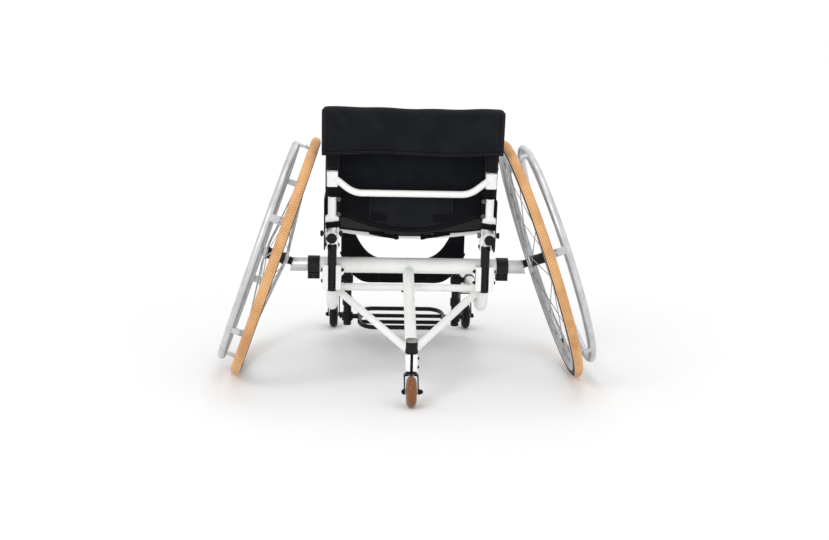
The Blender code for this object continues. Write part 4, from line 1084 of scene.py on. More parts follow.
@dataclass(frozen=True)
class Metal:
    """Bare metal with a brushed or turned grain, fine scratches and fingerprints."""

    name: str
    base: Colour
    dull: Colour
    rough: float
    grain: float = 2600.0
    stretch: float = 60.0
    brushed: float = 0.00003

    def build(self) -> bpy.types.Material:
        """The metal's material.

        Returns:
            the material.
        """
        g = Graph(self.name, Metallic=1.0)
        u, v = g.run()
        lines = g.add("CombineXYZ", {0: g.times(u, self.grain / self.stretch), 1: g.times(v, self.grain)})
        brush = g.add("TexNoise", {"Vector": lines.outputs[0], "Scale": 1.0, "Detail": 2.0}).outputs["Fac"]
        at = g.place()
        smear = g.span(g.noise(at, 24.0, 4.0), 0.4, 0.68)
        scratch = g.span(g.noise(at, 190.0, 3.0, 0.7), 0.63, 0.7)
        tint = g.blend(g.times(smear, 0.6), self.base, self.dull)
        rough = g.span(brush, 0.3, 0.7, self.rough - 0.05, self.rough + 0.06)
        rough = g.plus(g.plus(rough, g.times(scratch, 0.12)), g.times(smear, 0.07))
        return g.finish(Base_Color=tint, Roughness=rough, Normal=g.relief(brush, self.brushed, 0.5))


class Tread(Enum):
    """How a rubber tyre's running surface is cut."""

    DIAMOND = "diamond"
    SMOOTH = "smooth"


@dataclass(frozen=True)
class Rubber:
    """Moulded rubber or urethane, with dust and scuffs where it runs, and on a cut tread painted shade in the
    grooves between its blocks.
    """

    name: str
    base: Colour
    dirt_and_groove_shade: Colour
    rough: float
    tread: Tread = Tread.SMOOTH
    pitch: float = 0.0042
    depth: float = 0.0005
    soft: float = 0.0

    def build(self) -> bpy.types.Material:
        """The rubber's material.

        Returns:
            the material.
        """
        g = Graph(self.name, Specular_IOR_Level=0.2, Sheen_Weight=0.03, Sheen_Roughness=0.5,
                  Coat_Weight=self.soft)
        at = g.place()
        broad = g.span(g.noise(at, 13.0, 5.0, 0.62), 0.4, 0.72)
        fine = g.noise(at, 900.0)
        under = g.relief(fine, 0.00008, 0.7)
        share = g.plus(g.times(broad, 0.42), g.span(fine, 0.52, 0.75, 0.0, 0.25))
        if self.tread is Tread.DIAMOND:
            blocks = g.span(g.maths("MINIMUM", *g.waves(*g.run(), self.pitch)), 0.1, 0.34)
            # painted shade: the grooves between the tread blocks are drawn towards the dark colour
            share = g.plus(share, g.times(g.minus(1.0, blocks), 0.62))
            under = g.relief(blocks, self.depth, 0.8, under)
        tint = g.blend(g.maths("MINIMUM", share, 1.0), self.base, self.dirt_and_groove_shade)
        rough = g.span(g.noise(at, 60.0), 0.3, 0.7, self.rough - 0.08, self.rough + 0.08)
        return g.finish(Base_Color=tint, Roughness=rough, Normal=under)


@dataclass(frozen=True)
class Plastic:
    """Moulded plastic with a fine spark-eroded grain and rubbed, shinier high places."""

    name: str
    base: Colour
    worn: Colour
    rough: float = 0.46
    grain: float = 1500.0

    def build(self) -> bpy.types.Material:
        """The plastic's material.

        Returns:
            the material.
        """
        g = Graph(self.name, Specular_IOR_Level=0.22)
        at = g.place()
        cells = g.add("TexVoronoi", {"Vector": at, "Scale": self.grain}).outputs["Distance"]
        rub = g.span(g.noise(at, 26.0, 4.0), 0.45, 0.72)
        tint = g.blend(g.times(rub, 0.5), self.base, self.worn)
        rough = g.span(g.noise(at, 240.0), 0.3, 0.7, self.rough, self.rough + 0.12)
        rough = g.minus(rough, g.times(rub, 0.08))
        return g.finish(Base_Color=tint, Roughness=rough, Normal=g.relief(cells, 0.00008, 0.7))


class Weave(Enum):
    """How a cloth is made."""

    MESH = "knitted mesh"
    RIB = "upright ribs"
    PLAIN = "plain weave"
    WEBBING = "webbing"


@dataclass(frozen=True)
class Cloth:
    """Woven or knitted cloth, its threads in colour and relief, with lint and soft creases."""

    name: str
    base: Colour
    high: Colour
    weave: Weave
    pitch: float
    relief: float
    rough: float = 0.88
    sheen: float = 0.22

    def threads(self, g: Graph) -> Socket:
        """How high the threads stand, from 0 to 1.

        Args:
            g: the material's nodes.

        Returns:
            The output that gives the height.
        """
        u, v = g.run()
        if self.weave is Weave.RIB:
            rib = g.maths("POWER", g.wave(u, self.pitch), 0.6)
            return g.minus(rib, g.times(g.wave(v, self.pitch * 0.35), 0.16))
        if self.weave is Weave.MESH:
            strands = g.maths("MAXIMUM", *g.waves(u, g.times(v, 0.58), self.pitch))
            return g.span(strands, 0.35, 0.9)
        if self.weave is Weave.WEBBING:
            return g.maths("MAXIMUM", *g.waves(u, v, self.pitch))
        return g.maths("ABSOLUTE", g.minus(g.wave(u, self.pitch), g.wave(v, self.pitch)))

    def build(self) -> bpy.types.Material:
        """The cloth's material.

        Returns:
            the material.
        """
        g = Graph(self.name, Sheen_Weight=self.sheen, Sheen_Roughness=0.45, Specular_IOR_Level=0.07)
        at = g.place()
        threads = self.threads(g)
        fuzz = g.noise(at, 1100.0)
        worn = g.span(g.noise(at, 16.0, 4.0), 0.4, 0.72)
        share = g.plus(g.times(threads, 0.62), g.times(worn, 0.22))
        share = g.plus(share, g.span(fuzz, 0.6, 0.74, 0.0, 0.35))
        tint = g.blend(g.maths("MINIMUM", share, 1.0), self.base, self.high)
        creases = g.relief(g.noise(at, 30.0, 2.0), 0.0011, 0.45)
        normal = g.relief(g.plus(threads, g.times(fuzz, 0.3)), self.relief, 0.9, creases)
        rough = g.span(fuzz, 0.3, 0.7, self.rough - 0.08, self.rough + 0.06)
        return g.finish(Base_Color=tint, Roughness=rough, Normal=normal)


class Finishes:
    """Every finish on the chair, each built once."""

    def __init__(self) -> None:
        """Builds the finishes."""
        c, rib, mesh, plain, webbing = colour, Weave.RIB, Weave.MESH, Weave.PLAIN, Weave.WEBBING
        tread = (Tread.DIAMOND, 0.0072, 0.0007)
        self.white = Paint("white_paint", c(250, 252, 249), c(232, 234, 227), 0.3, 0.4).build()
        self.black = Paint("black_paint", c(11, 11, 13), c(26, 26, 28), 0.26, 0.06, 0.00005, 0.24).build()
        self.aluminium = Metal("satin_aluminium", c(214, 215, 217), c(190, 191, 194), 0.42).build()
        self.anodised = Metal("anodised_rim", c(196, 197, 200), c(166, 167, 171), 0.4).build()
        self.steel = Metal("stainless_steel", c(172, 171, 168), c(122, 121, 118), 0.24).build()
        self.brass = Metal("plated_brass", c(196, 176, 130), c(150, 130, 92), 0.3).build()
        self.black_steel = Metal("blackened_steel", c(36, 36, 38), c(24, 24, 25), 0.36).build()
        self.tan_tread = Rubber("tan_tread", c(248, 197, 140), c(186, 130, 84), 0.7, *tread).build()
        self.tan_side = Rubber("tan_sidewall", c(240, 187, 130), c(194, 138, 92), 0.66).build()
        self.black_rubber = Rubber("black_rubber", c(16, 16, 17), c(48, 46, 45), 0.6).build()
        self.urethane = Rubber("brown_urethane", c(128, 76, 32), c(84, 48, 22), 0.3, soft=0.5).build()
        self.plastic = Plastic("black_plastic", c(13, 14, 16), c(30, 31, 33), 0.42).build()
        self.grey_plastic = Plastic("grey_plastic", c(92, 93, 97), c(120, 121, 124)).build()
        self.mesh_cloth = Cloth("black_mesh", c(4, 5, 6), c(39, 42, 47), mesh, 0.005, 0.0009, 0.9,
                                0.05).build()
        self.ribbed = Cloth(
            "black_ribbed_cloth", c(6, 7, 9), c(32, 35, 40), rib, 0.0046, 0.0008, 0.88, 0.06).build()
        self.woven = Cloth("black_nylon", c(8, 9, 11), c(27, 29, 34), plain, 0.0013, 0.0003, 0.78,
                           0.06).build()
        self.pocket_cloth = Cloth(
            "black_pocket_cloth", c(15, 17, 20), c(37, 40, 46), plain, 0.0016, 0.0003, 0.7, 0.08).build()
        self.smooth_cloth = Cloth(
            "black_smooth_cloth", c(7, 8, 10), c(30, 32, 37), plain, 0.0009, 0.00015, 0.6, 0.1).build()
        self.webbing = Cloth(
            "black_webbing", c(6, 6, 8), c(23, 24, 27), webbing, 0.0024, 0.0004, 0.8, 0.06).build()
        self.grey_cloth = Cloth("grey_hook_tape", c(42, 43, 47), c(78, 79, 84), plain, 0.0012, 0.0004).build()
        self.thread = Cloth("thread", c(24, 25, 28), c(62, 64, 70), webbing, 0.0008, 0.0001).build()


@dataclass
class Assembly:
    """What every sub-assembly works from."""

    finishes: Finishes
    lay: Layout = LAYOUT


# Main wheels


@dataclass
class MainWheel(Assembly):
    """One cambered wheel: tyre, rim, hub with crossed spokes, and push rim."""

    side: Side = Side.LEFT
    steps: int = 144
    rim_width: float = 0.023
    rim_depth: float = 0.0165
    rim_lip: float = 0.0017
    hub_radius: float = 0.014
    bore: float = 0.00675
    flange_radius: float = 0.027
    flange_thickness: float = 0.004
    spokes: int = 24
    spoke_radius: float = 0.0011
    spoke_lean: float = radians(60)
    pushrim_radius: float = 0.27
    pushrim_tube: float = 0.01
    pushrim_offset: float = 0.043
    tabs: int = 6
    tab_turn: Flat = (radians(57), radians(17))
    tread_in: float = radians(56)
    tread_out: float = radians(84)
    tab_width: float = 0.02
    tab_thickness: float = 0.005

    def __post_init__(self) -> None:
        """Works out the places that follow from the sizes."""
        self.place = self.lay.wheel_place(self.side)
        self.tag = self.side.tag
        self.body = "wheel_" + self.tag
        self.bed = self.lay.tyre_line - self.lay.tyre_section - self.lay.gap
        self.bottom = self.bed - (self.rim_depth - 0.005)

    def at(self, radius: float, turn: float, out: float) -> Vector:
        """A point of the wheel from a radius, an angle and a distance outboard."""
        return self.place @ Vector((radius * cos(turn), radius * sin(turn), out))

    def on_rim(self, turn: float, out: float, sunk: float) -> Matrix:
        """A frame on the rim's inner face, sunk in it a little, local Z towards the hub.

        Args:
            turn: its angle round the wheel.
            out: its distance outwards.
            sunk: how deep it sits.

        Returns:
            the frame.
        """
        spot = self.at(self.bottom, turn, out)
        inward = (self.at(0.0, 0.0, out) - spot).normalized()
        return facing(spot - inward * sunk, inward, square_to(inward))

    def lacing(self) -> list[tuple[float, int, int]]:
        """Every spoke's angle at the hub, the way it leans, and its flange.

        Returns:
            an angle, a lean and a flange for each spoke.
        """
        per_flange = self.spokes // 2
        made = []
        for i in range(self.spokes):
            outboard = 1 if i % 2 else -1
            turn = (i // 2) * 2 * pi / per_flange + (pi / per_flange) * (outboard > 0)
            made.append((turn, 1 if (i // 2) % 2 else -1, outboard))
        return made

    def tyre(self) -> None:
        """Round-section tyre with a fine diamond tread and a thin black bead at the rim."""
        line, thick, f = self.lay.tyre_line, self.lay.tyre_section, self.finishes
        sides, shoulder = 40, radians(8)
        profile = []
        for i in range(sides):
            a = 2 * pi * (i + 0.5) / sides
            crown = 1.0 if abs(a - pi) > radians(90) else 0.985
            profile.append((line + thick * crown * cos(a), thick * crown * sin(a)))
        skin = Skin().add(turned(profile, self.steps * 2, self.place))
        for i, face in enumerate(skin.faces):
            a = 2 * pi * (face[0] % sides + 1) / sides
            from_crown = min(a, 2 * pi - a)
            limit = self.tread_out if a < pi else self.tread_in
            skin.looks[i] = 0 if from_crown < limit - shoulder else 2 if from_crown < limit else 1
        make("tyre_skin_" + self.tag, skin, [f.tan_tread, f.black_rubber, f.tan_side], self.body,
             ["tyre_" + self.tag])

    def rim(self) -> None:
        """Box rim with its tyre bed, spoke eyelets and valve."""
        half, bed, bottom, f = self.rim_width / 2, self.bed, self.bottom, self.finishes
        lip, reach = bed + 0.005, self.spoke_lean
        profile = [
            (lip, half), (bottom + 0.006, half), (bottom, half - 0.005), (bottom, 0.005 - half),
            (bottom + 0.006, -half), (lip, -half), (lip, self.rim_lip - half), (bed, 0.004 - half),
            (bed, half - 0.004), (lip, half - self.rim_lip)]
        skin = Skin().add(turned(soften(profile, 0.0011, 3, closed=True), self.steps, self.place))
        for turn, lean, out in self.lacing():
            skin.add(washer(self.on_rim(turn + lean * reach, out * 0.0015, 0.0002), 0.0032, 0.0007), look=1)
        valve = self.on_rim(radians(15), 0.0, 0.001)
        stem = [(0, 0), (0.0042, 0), (0.0042, 0.0022), (0.0031, 0.0026), (0.0031, 0.016), (0.0026, 0.0165),
                (0.0026, 0.022), (0, 0.022)]
        cap = [(0, 0.0205), (0.0036, 0.0205), (0.0037, 0.0285), (0.0029, 0.0302), (0, 0.0302)]
        skin.add(spun(stem, 18, valve), look=2).add(spun(cap, 18, valve), look=3)
        make("rim_skin_" + self.tag, skin, [f.anodised, f.steel, f.brass, f.plastic], self.body,
             ["rim_" + self.tag])

    def hub(self) -> None:
        """Black hub barrel between silver flanges, and the laced spokes with nipples."""
        f, bore, r = self.finishes, self.bore, self.hub_radius
        wide, thick = self.flange_radius, self.flange_thickness
        end = self.lay.hub_length / 2
        flange, shoulder = end - 0.004, bore + 0.0045
        inner = flange - thick
        barrel = [(bore, inner - 0.001), (r + 0.003, inner - 0.001), (r, inner - 0.006), (r - 0.001, 0.0),
                  (r, 0.006 - inner), (r + 0.003, 0.001 - inner), (bore, 0.001 - inner)]
        skin = Skin().add(turned(soften(barrel, 0.0012, 3, closed=True), 48, self.place), look=1)
        ring = [(bore, inner), (wide - 0.0006, inner), (wide, inner + 0.0006), (wide, flange - 0.0006),
                (wide - 0.0006, flange), (shoulder + 0.002, flange), (shoulder, flange + 0.001),
                (shoulder, end - 0.0006), (shoulder - 0.0006, end), (bore, end)]
        for way in (-1, 1):
            skin.add(turned([(a, way * b) for a, b in ring], 48, self.place))
        nipple = [(0, 0), (0.0013, 0), (0.0021, 0.0016), (0.0021, 0.0098), (0.0026, 0.0106),
                  (0.0026, 0.0134), (0, 0.0134)]
        reach, root, middle = self.bottom - self.lay.gap - 0.0003, wide - 0.004, flange - thick / 2
        for turn, lean, out in self.lacing():
            start = self.at(root, turn, out * middle + lean * thick * 0.4)
            tip = self.at(reach, turn + lean * self.spoke_lean, out * 0.0015)
            way = (tip - start).normalized()
            head = self.at(root, turn, out * middle - lean * thick * 0.42)
            elbow = start - way * 0.0004
            line = [head, head.lerp(elbow, 0.6), elbow, start + way * 0.0022, start + way * 0.05,
                    tip - way * 0.012]
            skin.add(loft(line, round_section(self.spoke_radius, 8), (1, 1, 1.05, 1.05, 1, 1)), look=2)
            skin.add(spun(nipple, 10, facing(tip - way * 0.0135, way, square_to(way))), look=2)
        make("hub_skin_" + self.tag, skin, [f.aluminium, f.black, f.steel], self.body,
             ["hub_" + self.tag])

    def push_rim(self) -> None:
        """Push rim of round tube, with the flat tabs that are welded to it and bolted to the rim."""
        r, out, f = self.pushrim_radius, self.pushrim_offset, self.finishes
        profile = [(r + a, out + b) for a, b in round_section(self.pushrim_tube, 28)]
        skin = Skin().add(turned(profile, self.steps, self.place))
        middle, foot = self.bottom + 0.0085, self.rim_width / 2 + self.lay.gap
        wide, thick = self.tab_width, self.tab_thickness
        tab = soften([(-wide / 2, foot), (wide / 2, foot), (wide * 0.43, out - 0.004),
                      (-wide * 0.43, out - 0.004)],
                     0.003, 4, closed=True)
        for i in range(self.tabs):
            turn = self.tab_turn[self.side is Side.RIGHT] + i * 2 * pi / self.tabs
            spin = self.place @ Matrix.Rotation(turn, 4, "Z")
            ways = [spin.to_3x3() @ way for way in (ACROSS, AHEAD)]
            skin.add(prism(tab, -thick / 2, thick / 2, facing(spin @ Vector((middle, 0.0, 0.0)), *ways),
                           0.0007))
            bead = [spin @ Vector((middle - 0.0015, y, out - 0.0065)) for y in (-0.0095, 0.0, 0.0095)]
            skin.add(weld(bead, 0.0019, closed=False), look=1)
            for y in (-0.005, 0.005):
                spot = spin @ Vector((middle + thick / 2 - 0.0003, y, foot + 0.006))
                skin.add(socket_screw(facing(spot, *ways), 0.0024, 0.0016), look=2)
        make("push_rim_" + self.tag, skin, [f.aluminium, f.aluminium, f.steel], self.body,
             ["handrim_" + self.tag])

    def build(self) -> None:
        """Builds the wheel's four pieces."""
        self.tyre()
        self.rim()
        self.hub()
        self.push_rim()


@dataclass
class AxleSet(Assembly):
    """What carries one wheel: the slanted insert, the quick-release axle and its button."""

    side: Side = Side.LEFT
    insert_radius: float = 0.0165
    standoff: float = 0.012
    axle_radius: float = 0.00635
    head_radius: float = 0.0095
    head_length: float = 0.006
    button_radius: float = 0.004
    button_proud: float = 0.0035
    button_length: float = 0.0055

    def insert(self, face: Matrix) -> Shape:
        """The slanted insert.

        Args:
            face: a frame on its outer end, local Z square out of it.

        Returns:
            The closed shape.
        """
        sides, radius, way = 48, self.insert_radius, self.side.value
        middle, out = face @ Vector((0.0, 0.0, 0.0)), (face.to_3x3() @ UP).normalized()
        tail = self.lay.camber_tube_end - self.lay.insert_held
        points = []
        for ring, less in enumerate((0.001, 0.0, 0.0, 0.0007)):
            for y, up in round_section(radius - less, sides):
                z = self.lay.camber_tube_z + up
                slant = middle.x - (y - middle.y) * out.y / out.x - (z - middle.z) * out.z / out.x
                x = (way * tail, way * (tail + 0.001), slant - way * 0.0009, slant)[ring]
                points.append(Vector((x, y, z)))
        made = net((4, sides), range(4), range(sides + 1))
        made.points = points
        made.runs = [
            tuple((points[ring * sides + run[0][1]].x, radius * 2 * pi * k / sides) for ring, k in run)
            for run in made.runs]
        for first in (0, 3 * sides):
            end = range(first, first + sides)
            made.faces.append(tuple(end))
            made.runs.append(tuple((points[i].y, points[i].z) for i in end))
        return made

    def build(self) -> None:
        """Builds the insert, the axle and the button."""
        lay, tag, f = self.lay, self.side.tag, self.finishes
        body, place = "track_" + tag, lay.wheel_place(self.side)
        hub_end = lay.hub_length / 2
        face = hub_end + self.standoff
        seat = raised(place, -face)
        disc = [(0, -0.001), (0.0118, -0.001), (0.0118, 0.0016), (0.0106, 0.0022), (0, 0.0022)]
        skin = Skin().add(self.insert(seat)).add(spun(disc, 36, seat), look=1)
        make("insert_" + tag, skin, [f.aluminium, f.steel], body, ["axle_insert_" + tag])
        r, wide, head = self.axle_radius, self.head_radius, hub_end + lay.gap
        end, hole = head + self.head_length, self.button_radius + 0.0004
        floor = end + self.button_proud - self.button_length - 0.0034
        pin = [(0, -face), (r, -face), (r, head), (wide - 0.0012, head), (wide, head + 0.001),
               (wide, end - 0.0014),
               (wide - 0.0014, end), (hole + 0.0003, end), (hole, end - 0.0003), (hole, floor), (0, floor)]
        spacer = [(r, -face + 0.0022), (0.0092, -face + 0.0022), (0.0096, -face + 0.0027),
                  (0.0096, -hub_end - 0.0012), (0.0088, -hub_end - 0.0004), (r, -hub_end - 0.0004)]
        skin = Skin().add(spun(pin, 40, place)).add(turned(spacer, 40, place), look=1)
        make("quick_release_axle_" + tag, skin, [f.steel, f.black_steel], body, ["axle_" + tag])
        top, radius = end + self.button_proud, self.button_radius
        low = top - self.button_length
        button = [(0, low), (radius, low), (radius, top - 0.0012), (radius - 0.0004, top - 0.0005),
                  (radius - 0.0014, top - 0.0001), (0, top)]
        make("release_button_" + tag, Skin().add(spun(button, 32, place)), [f.steel], "button_" + tag,
             ["axle_button_" + tag])


# The camber tube and the frame below it


@dataclass
class CamberTube(Assembly):
    """The main cross tube with its welds and the two split collars that grip the inserts."""

    bore: float = 0.0169
    travel_in: float = 0.006
    collar_width: float = 0.029
    collar_wall: float = 0.003
    block: float = 0.022
    drop: float = 0.0335
    split: float = 0.003

    def tube(self) -> None:
        """The tube, bored at both ends, with the beads where the rails and mast meet it."""
        lay, bore = self.lay, self.bore
        end, r, z = lay.camber_tube_end, lay.camber_tube_radius, lay.camber_tube_z
        depth = end - lay.insert_held - self.travel_in - 0.002
        half = [(0, depth), (bore, depth), (bore, end - 0.0004), (bore + 0.0005, end), (r - 0.0007, end),
                (r, end - 0.0007)]
        stations = [(r, x * end / 9) for x in range(8, -9, -1)]
        profile = [*half, *stations, *[(a, -b) for a, b in reversed(half)]]
        skin, centre = Skin().add(spun(profile, 64, sideways(0, 0, z))), Vector((0, 0, z))
        for x in (-lay.frame_half, lay.frame_half):
            ring = saddle(Vector((x, 0, z)), DOWN, lay.rail_radius, centre, ACROSS, r)
            skin.add(weld(ring, 0.0021))
        ring = saddle(centre, lay.mast_foot - centre, lay.mast_radius, centre, ACROSS, r)
        skin.add(weld(ring, 0.0024))
        make("camber_tube_skin", skin, [self.finishes.white], "frame", ["camber_tube"])

    def collar(self, side: Side) -> None:
        """A split collar with its two pinch screws.

        Args:
            side: which side it is on.
        """
        lay, f = self.lay, self.finishes
        outer, inner = lay.camber_tube_radius + self.collar_wall, lay.camber_tube_radius + lay.gap
        far = lay.camber_tube_end + lay.gap
        near = far - self.collar_width
        s, b, drop = self.split / 2, self.block / 2, self.drop
        low = -sqrt(outer**2 - b**2)
        first, last = atan2(low, -b), atan2(low, b)
        outline = [
            *arc(inner, -pi / 2 + s / inner, 2 * pi - 2 * s / inner, 48), (-s, -drop), (-b, -drop), (-b, low),
            *arc(outer, first, -(first + 2 * pi - last), 48)[1:-1], (b, low), (b, -drop), (s, -drop)]
        ends = sorted((side.value * near, side.value * far))
        skin = Skin().add(prism(outline, *ends, sideways(0, 0, lay.camber_tube_z), 0.0006))
        z = lay.camber_tube_z - drop + 0.006
        for share in (0.25, 0.75):
            x = side.value * (near + self.collar_width * share)
            skin.add(socket_screw(facing(Vector((x, -b, z)), BEHIND, ACROSS), 0.003, 0.003), look=1)
            skin.add(*nut(facing(Vector((x, b, z)), AHEAD, ACROSS), 0.0034, 0.0024), look=1)
        make("track_collar_" + side.tag, skin, [f.black, f.black_steel], "frame",
             ["track_clamp_" + side.tag])

    def build(self) -> None:
        """Builds the tube and both collars."""
        self.tube()
        for side in Side:
            self.collar(side)


@dataclass
class LowerFrame(Assembly):
    """Side rails with their caster housings, cross tube, mast, braces and strut clamps."""

    rail_bend: float = 0.045
    cross_radius: float = 0.009
    cross_z: float = 0.2126
    brace_radius: float = 0.009
    brace_start: Triple = (0.178, 0.006, 0.208)
    brace_meets: float = 0.93
    rear_clamp_radius: float = 0.0137
    stem_bore: float = 0.0064
    clamp_half: float = 0.0225
    clamp_low: float = 0.214
    clamp_height: float = 0.06
    clamp_back: float = 0.0118
    clamp_slot: float = 0.019

    def rail(self, side: Side) -> None:
        """A side rail: down from the camber tube, round a bend and forward to its housing.

        Args:
            side: which side it is on.
        """
        lay, f, half, bore = self.lay, self.finishes, self.lay.frame_half, self.stem_bore
        line = bent([side.at(half, 0, lay.camber_tube_z - 0.01), side.at(half, 0, lay.rail_z),
                     side.at(half, lay.swivel_y - 0.006, lay.rail_z)], self.rail_bend, 20)
        skin = Skin().add(tube(spread(line, 0.03), lay.rail_radius, 36))
        x, y, r = side.value * lay.housing_x, lay.swivel_y, lay.housing_radius
        low, high = lay.housing_low, lay.housing_low + lay.housing_height
        groove = [(r, 0.007), (r - 0.0008, 0.0078), (r - 0.0008, 0.0094), (r, 0.0102)]
        profile = [(bore + 0.004, low), (r - 0.0012, low), (r, low + 0.0012),
                   *[(a, low + b) for a, b in groove],
                   *[(a, high - b) for a, b in reversed(groove)], (r, high - 0.0014), (r - 0.0014, high),
                   (0, high), (0, high - 0.006), (bore, high - 0.006), (bore, low + 0.003),
                   (bore + 0.004, low + 0.003)]
        place = upright(x, y)
        skin.add(turned(profile, 48, place))
        skin.add(sleeve(bore + 0.0002, bore + 0.0038, low + 0.0004, low + 0.0028, 32, place), look=1)
        ring = saddle(Vector((side.value * half, y, lay.rail_z)), BEHIND, lay.rail_radius - 0.0004,
                      Vector((x, y, 0)), UP, r)
        skin.add(weld(ring, 0.002))
        ring = saddle(side.at(half, 0, self.cross_z), side.at(-1, 0, 0), self.cross_radius,
                      side.at(half, 0, 0), UP, lay.rail_radius)
        skin.add(weld(ring, 0.0018))
        make("rail_" + side.tag, skin, [f.white, f.black_rubber], "frame",
             ["side_rail_" + side.tag])

    def cross_tube(self) -> None:
        """The lower cross tube with the small screw under its middle."""
        lay, f, z, r = self.lay, self.finishes, self.cross_z, self.cross_radius
        ends = [Vector((x, 0, z)) for x in (-lay.frame_half + 0.004, lay.frame_half - 0.004)]
        skin = Skin().add(tube(spread(ends, 0.03), r, 32))
        place = facing(Vector((-0.012, -0.003, z - r + 0.0012)), Vector((0, -0.25, -1)), ACROSS)
        skin.add(washer(place, 0.0046, 0.001), socket_screw(raised(place, 0.001), 0.0034, 0.0026), look=1)
        make("cross_tube", skin, [f.white, f.black_steel], "frame", ["lower_cross_tube"])

    def mast(self) -> None:
        """The mast down to the anti-tip wheel, and the braces that steady it."""
        lay, white, r = self.lay, [self.finishes.white], self.lay.mast_radius
        start, foot = Vector((0, 0, lay.camber_tube_z)), lay.mast_foot
        way = (foot - start).normalized()
        line = [start + way * 0.012, start.lerp(foot, 0.5), foot - way * 0.0098]
        skin = Skin().add(tube(spread(line, 0.03), r, 36))
        stem = Vector((0, lay.anti_tip_stem_y, 0))
        skin.add(weld(saddle(foot, start - foot, r - 0.0006, stem, UP, self.rear_clamp_radius), 0.0017))
        make("mast", skin, white, "frame", ["anti_tip_mast"])
        meet = start.lerp(foot, self.brace_meets)
        for side in Side:
            root = side.at(*self.brace_start)
            stop = meet - (meet - root).normalized() * (r * 0.55)
            line = [root, root.lerp(stop, 0.5), stop]
            skin = Skin().add(tube(spread(line, 0.03), self.brace_radius, 32, edge=0.0035))
            skin.add(weld(saddle(meet, root - meet, self.brace_radius, start, way, r), 0.0016))
            make("brace_" + side.tag, skin, white, "frame", ["anti_tip_brace_" + side.tag])

    def strut_clamp(self, side: Side) -> None:
        """A split clamp block for the seat strut, with two through bolts.

        Args:
            side: which side it is on.
        """
        lay, f, y = self.lay, self.finishes, self.lay.strut_y
        back, front = y - self.clamp_back, -lay.rail_radius - lay.gap
        w, s, bore = self.clamp_half, self.clamp_slot / 2, lay.strut_radius + 0.0004
        outer = soften([(s, back), (w, back), (w, front), (-w, front), (-w, back), (-s, back)], 0.0035, 5)
        mouth = -sqrt(bore**2 - s**2)
        hole = arc(bore, atan2(mouth, -s), -(2 * pi - 2 * (atan2(mouth, s) + pi / 2)), 40, (0.0, y))
        low, high = self.clamp_low, self.clamp_low + self.clamp_height
        centre = side.value * lay.frame_half
        skin = Skin().add(prism([*outer, *hole], low, high, upright(centre, 0), 0.0009))
        cone = [(0, 0), (0.005, 0), (0.005, 0.0012), (0.0044, 0.0022), (0.0026, 0.006), (0.0018, 0.0068),
                (0, 0.007)]
        for share in (0.33, 0.79):
            z = low + share * self.clamp_height
            outward = sideways(centre + side.value * w, y, z, side.value)
            skin.add(washer(outward, 0.0052, 0.0009), look=2)
            skin.add(socket_screw(raised(outward, 0.0009), 0.004, 0.0032), look=1)
            skin.add(spun(cone, 24, sideways(centre - side.value * w, y, z, -side.value)), look=1)
        for way in (-1, 1):
            bead = [Vector((centre + way * 0.0115, front + 0.001, z)) for z in (low + 0.004, high - 0.028)]
            skin.add(weld(bead, 0.0021, closed=False))
        make("strut_block_" + side.tag, skin, [f.white, f.black_steel, f.steel], "frame",
             ["strut_clamp_" + side.tag])

    def build(self) -> None:
        """Builds the frame below the camber tube."""
        for side in Side:
            self.rail(side)
            self.strut_clamp(side)
        self.cross_tube()
        self.mast()


# Casters and the rear anti-tip wheel


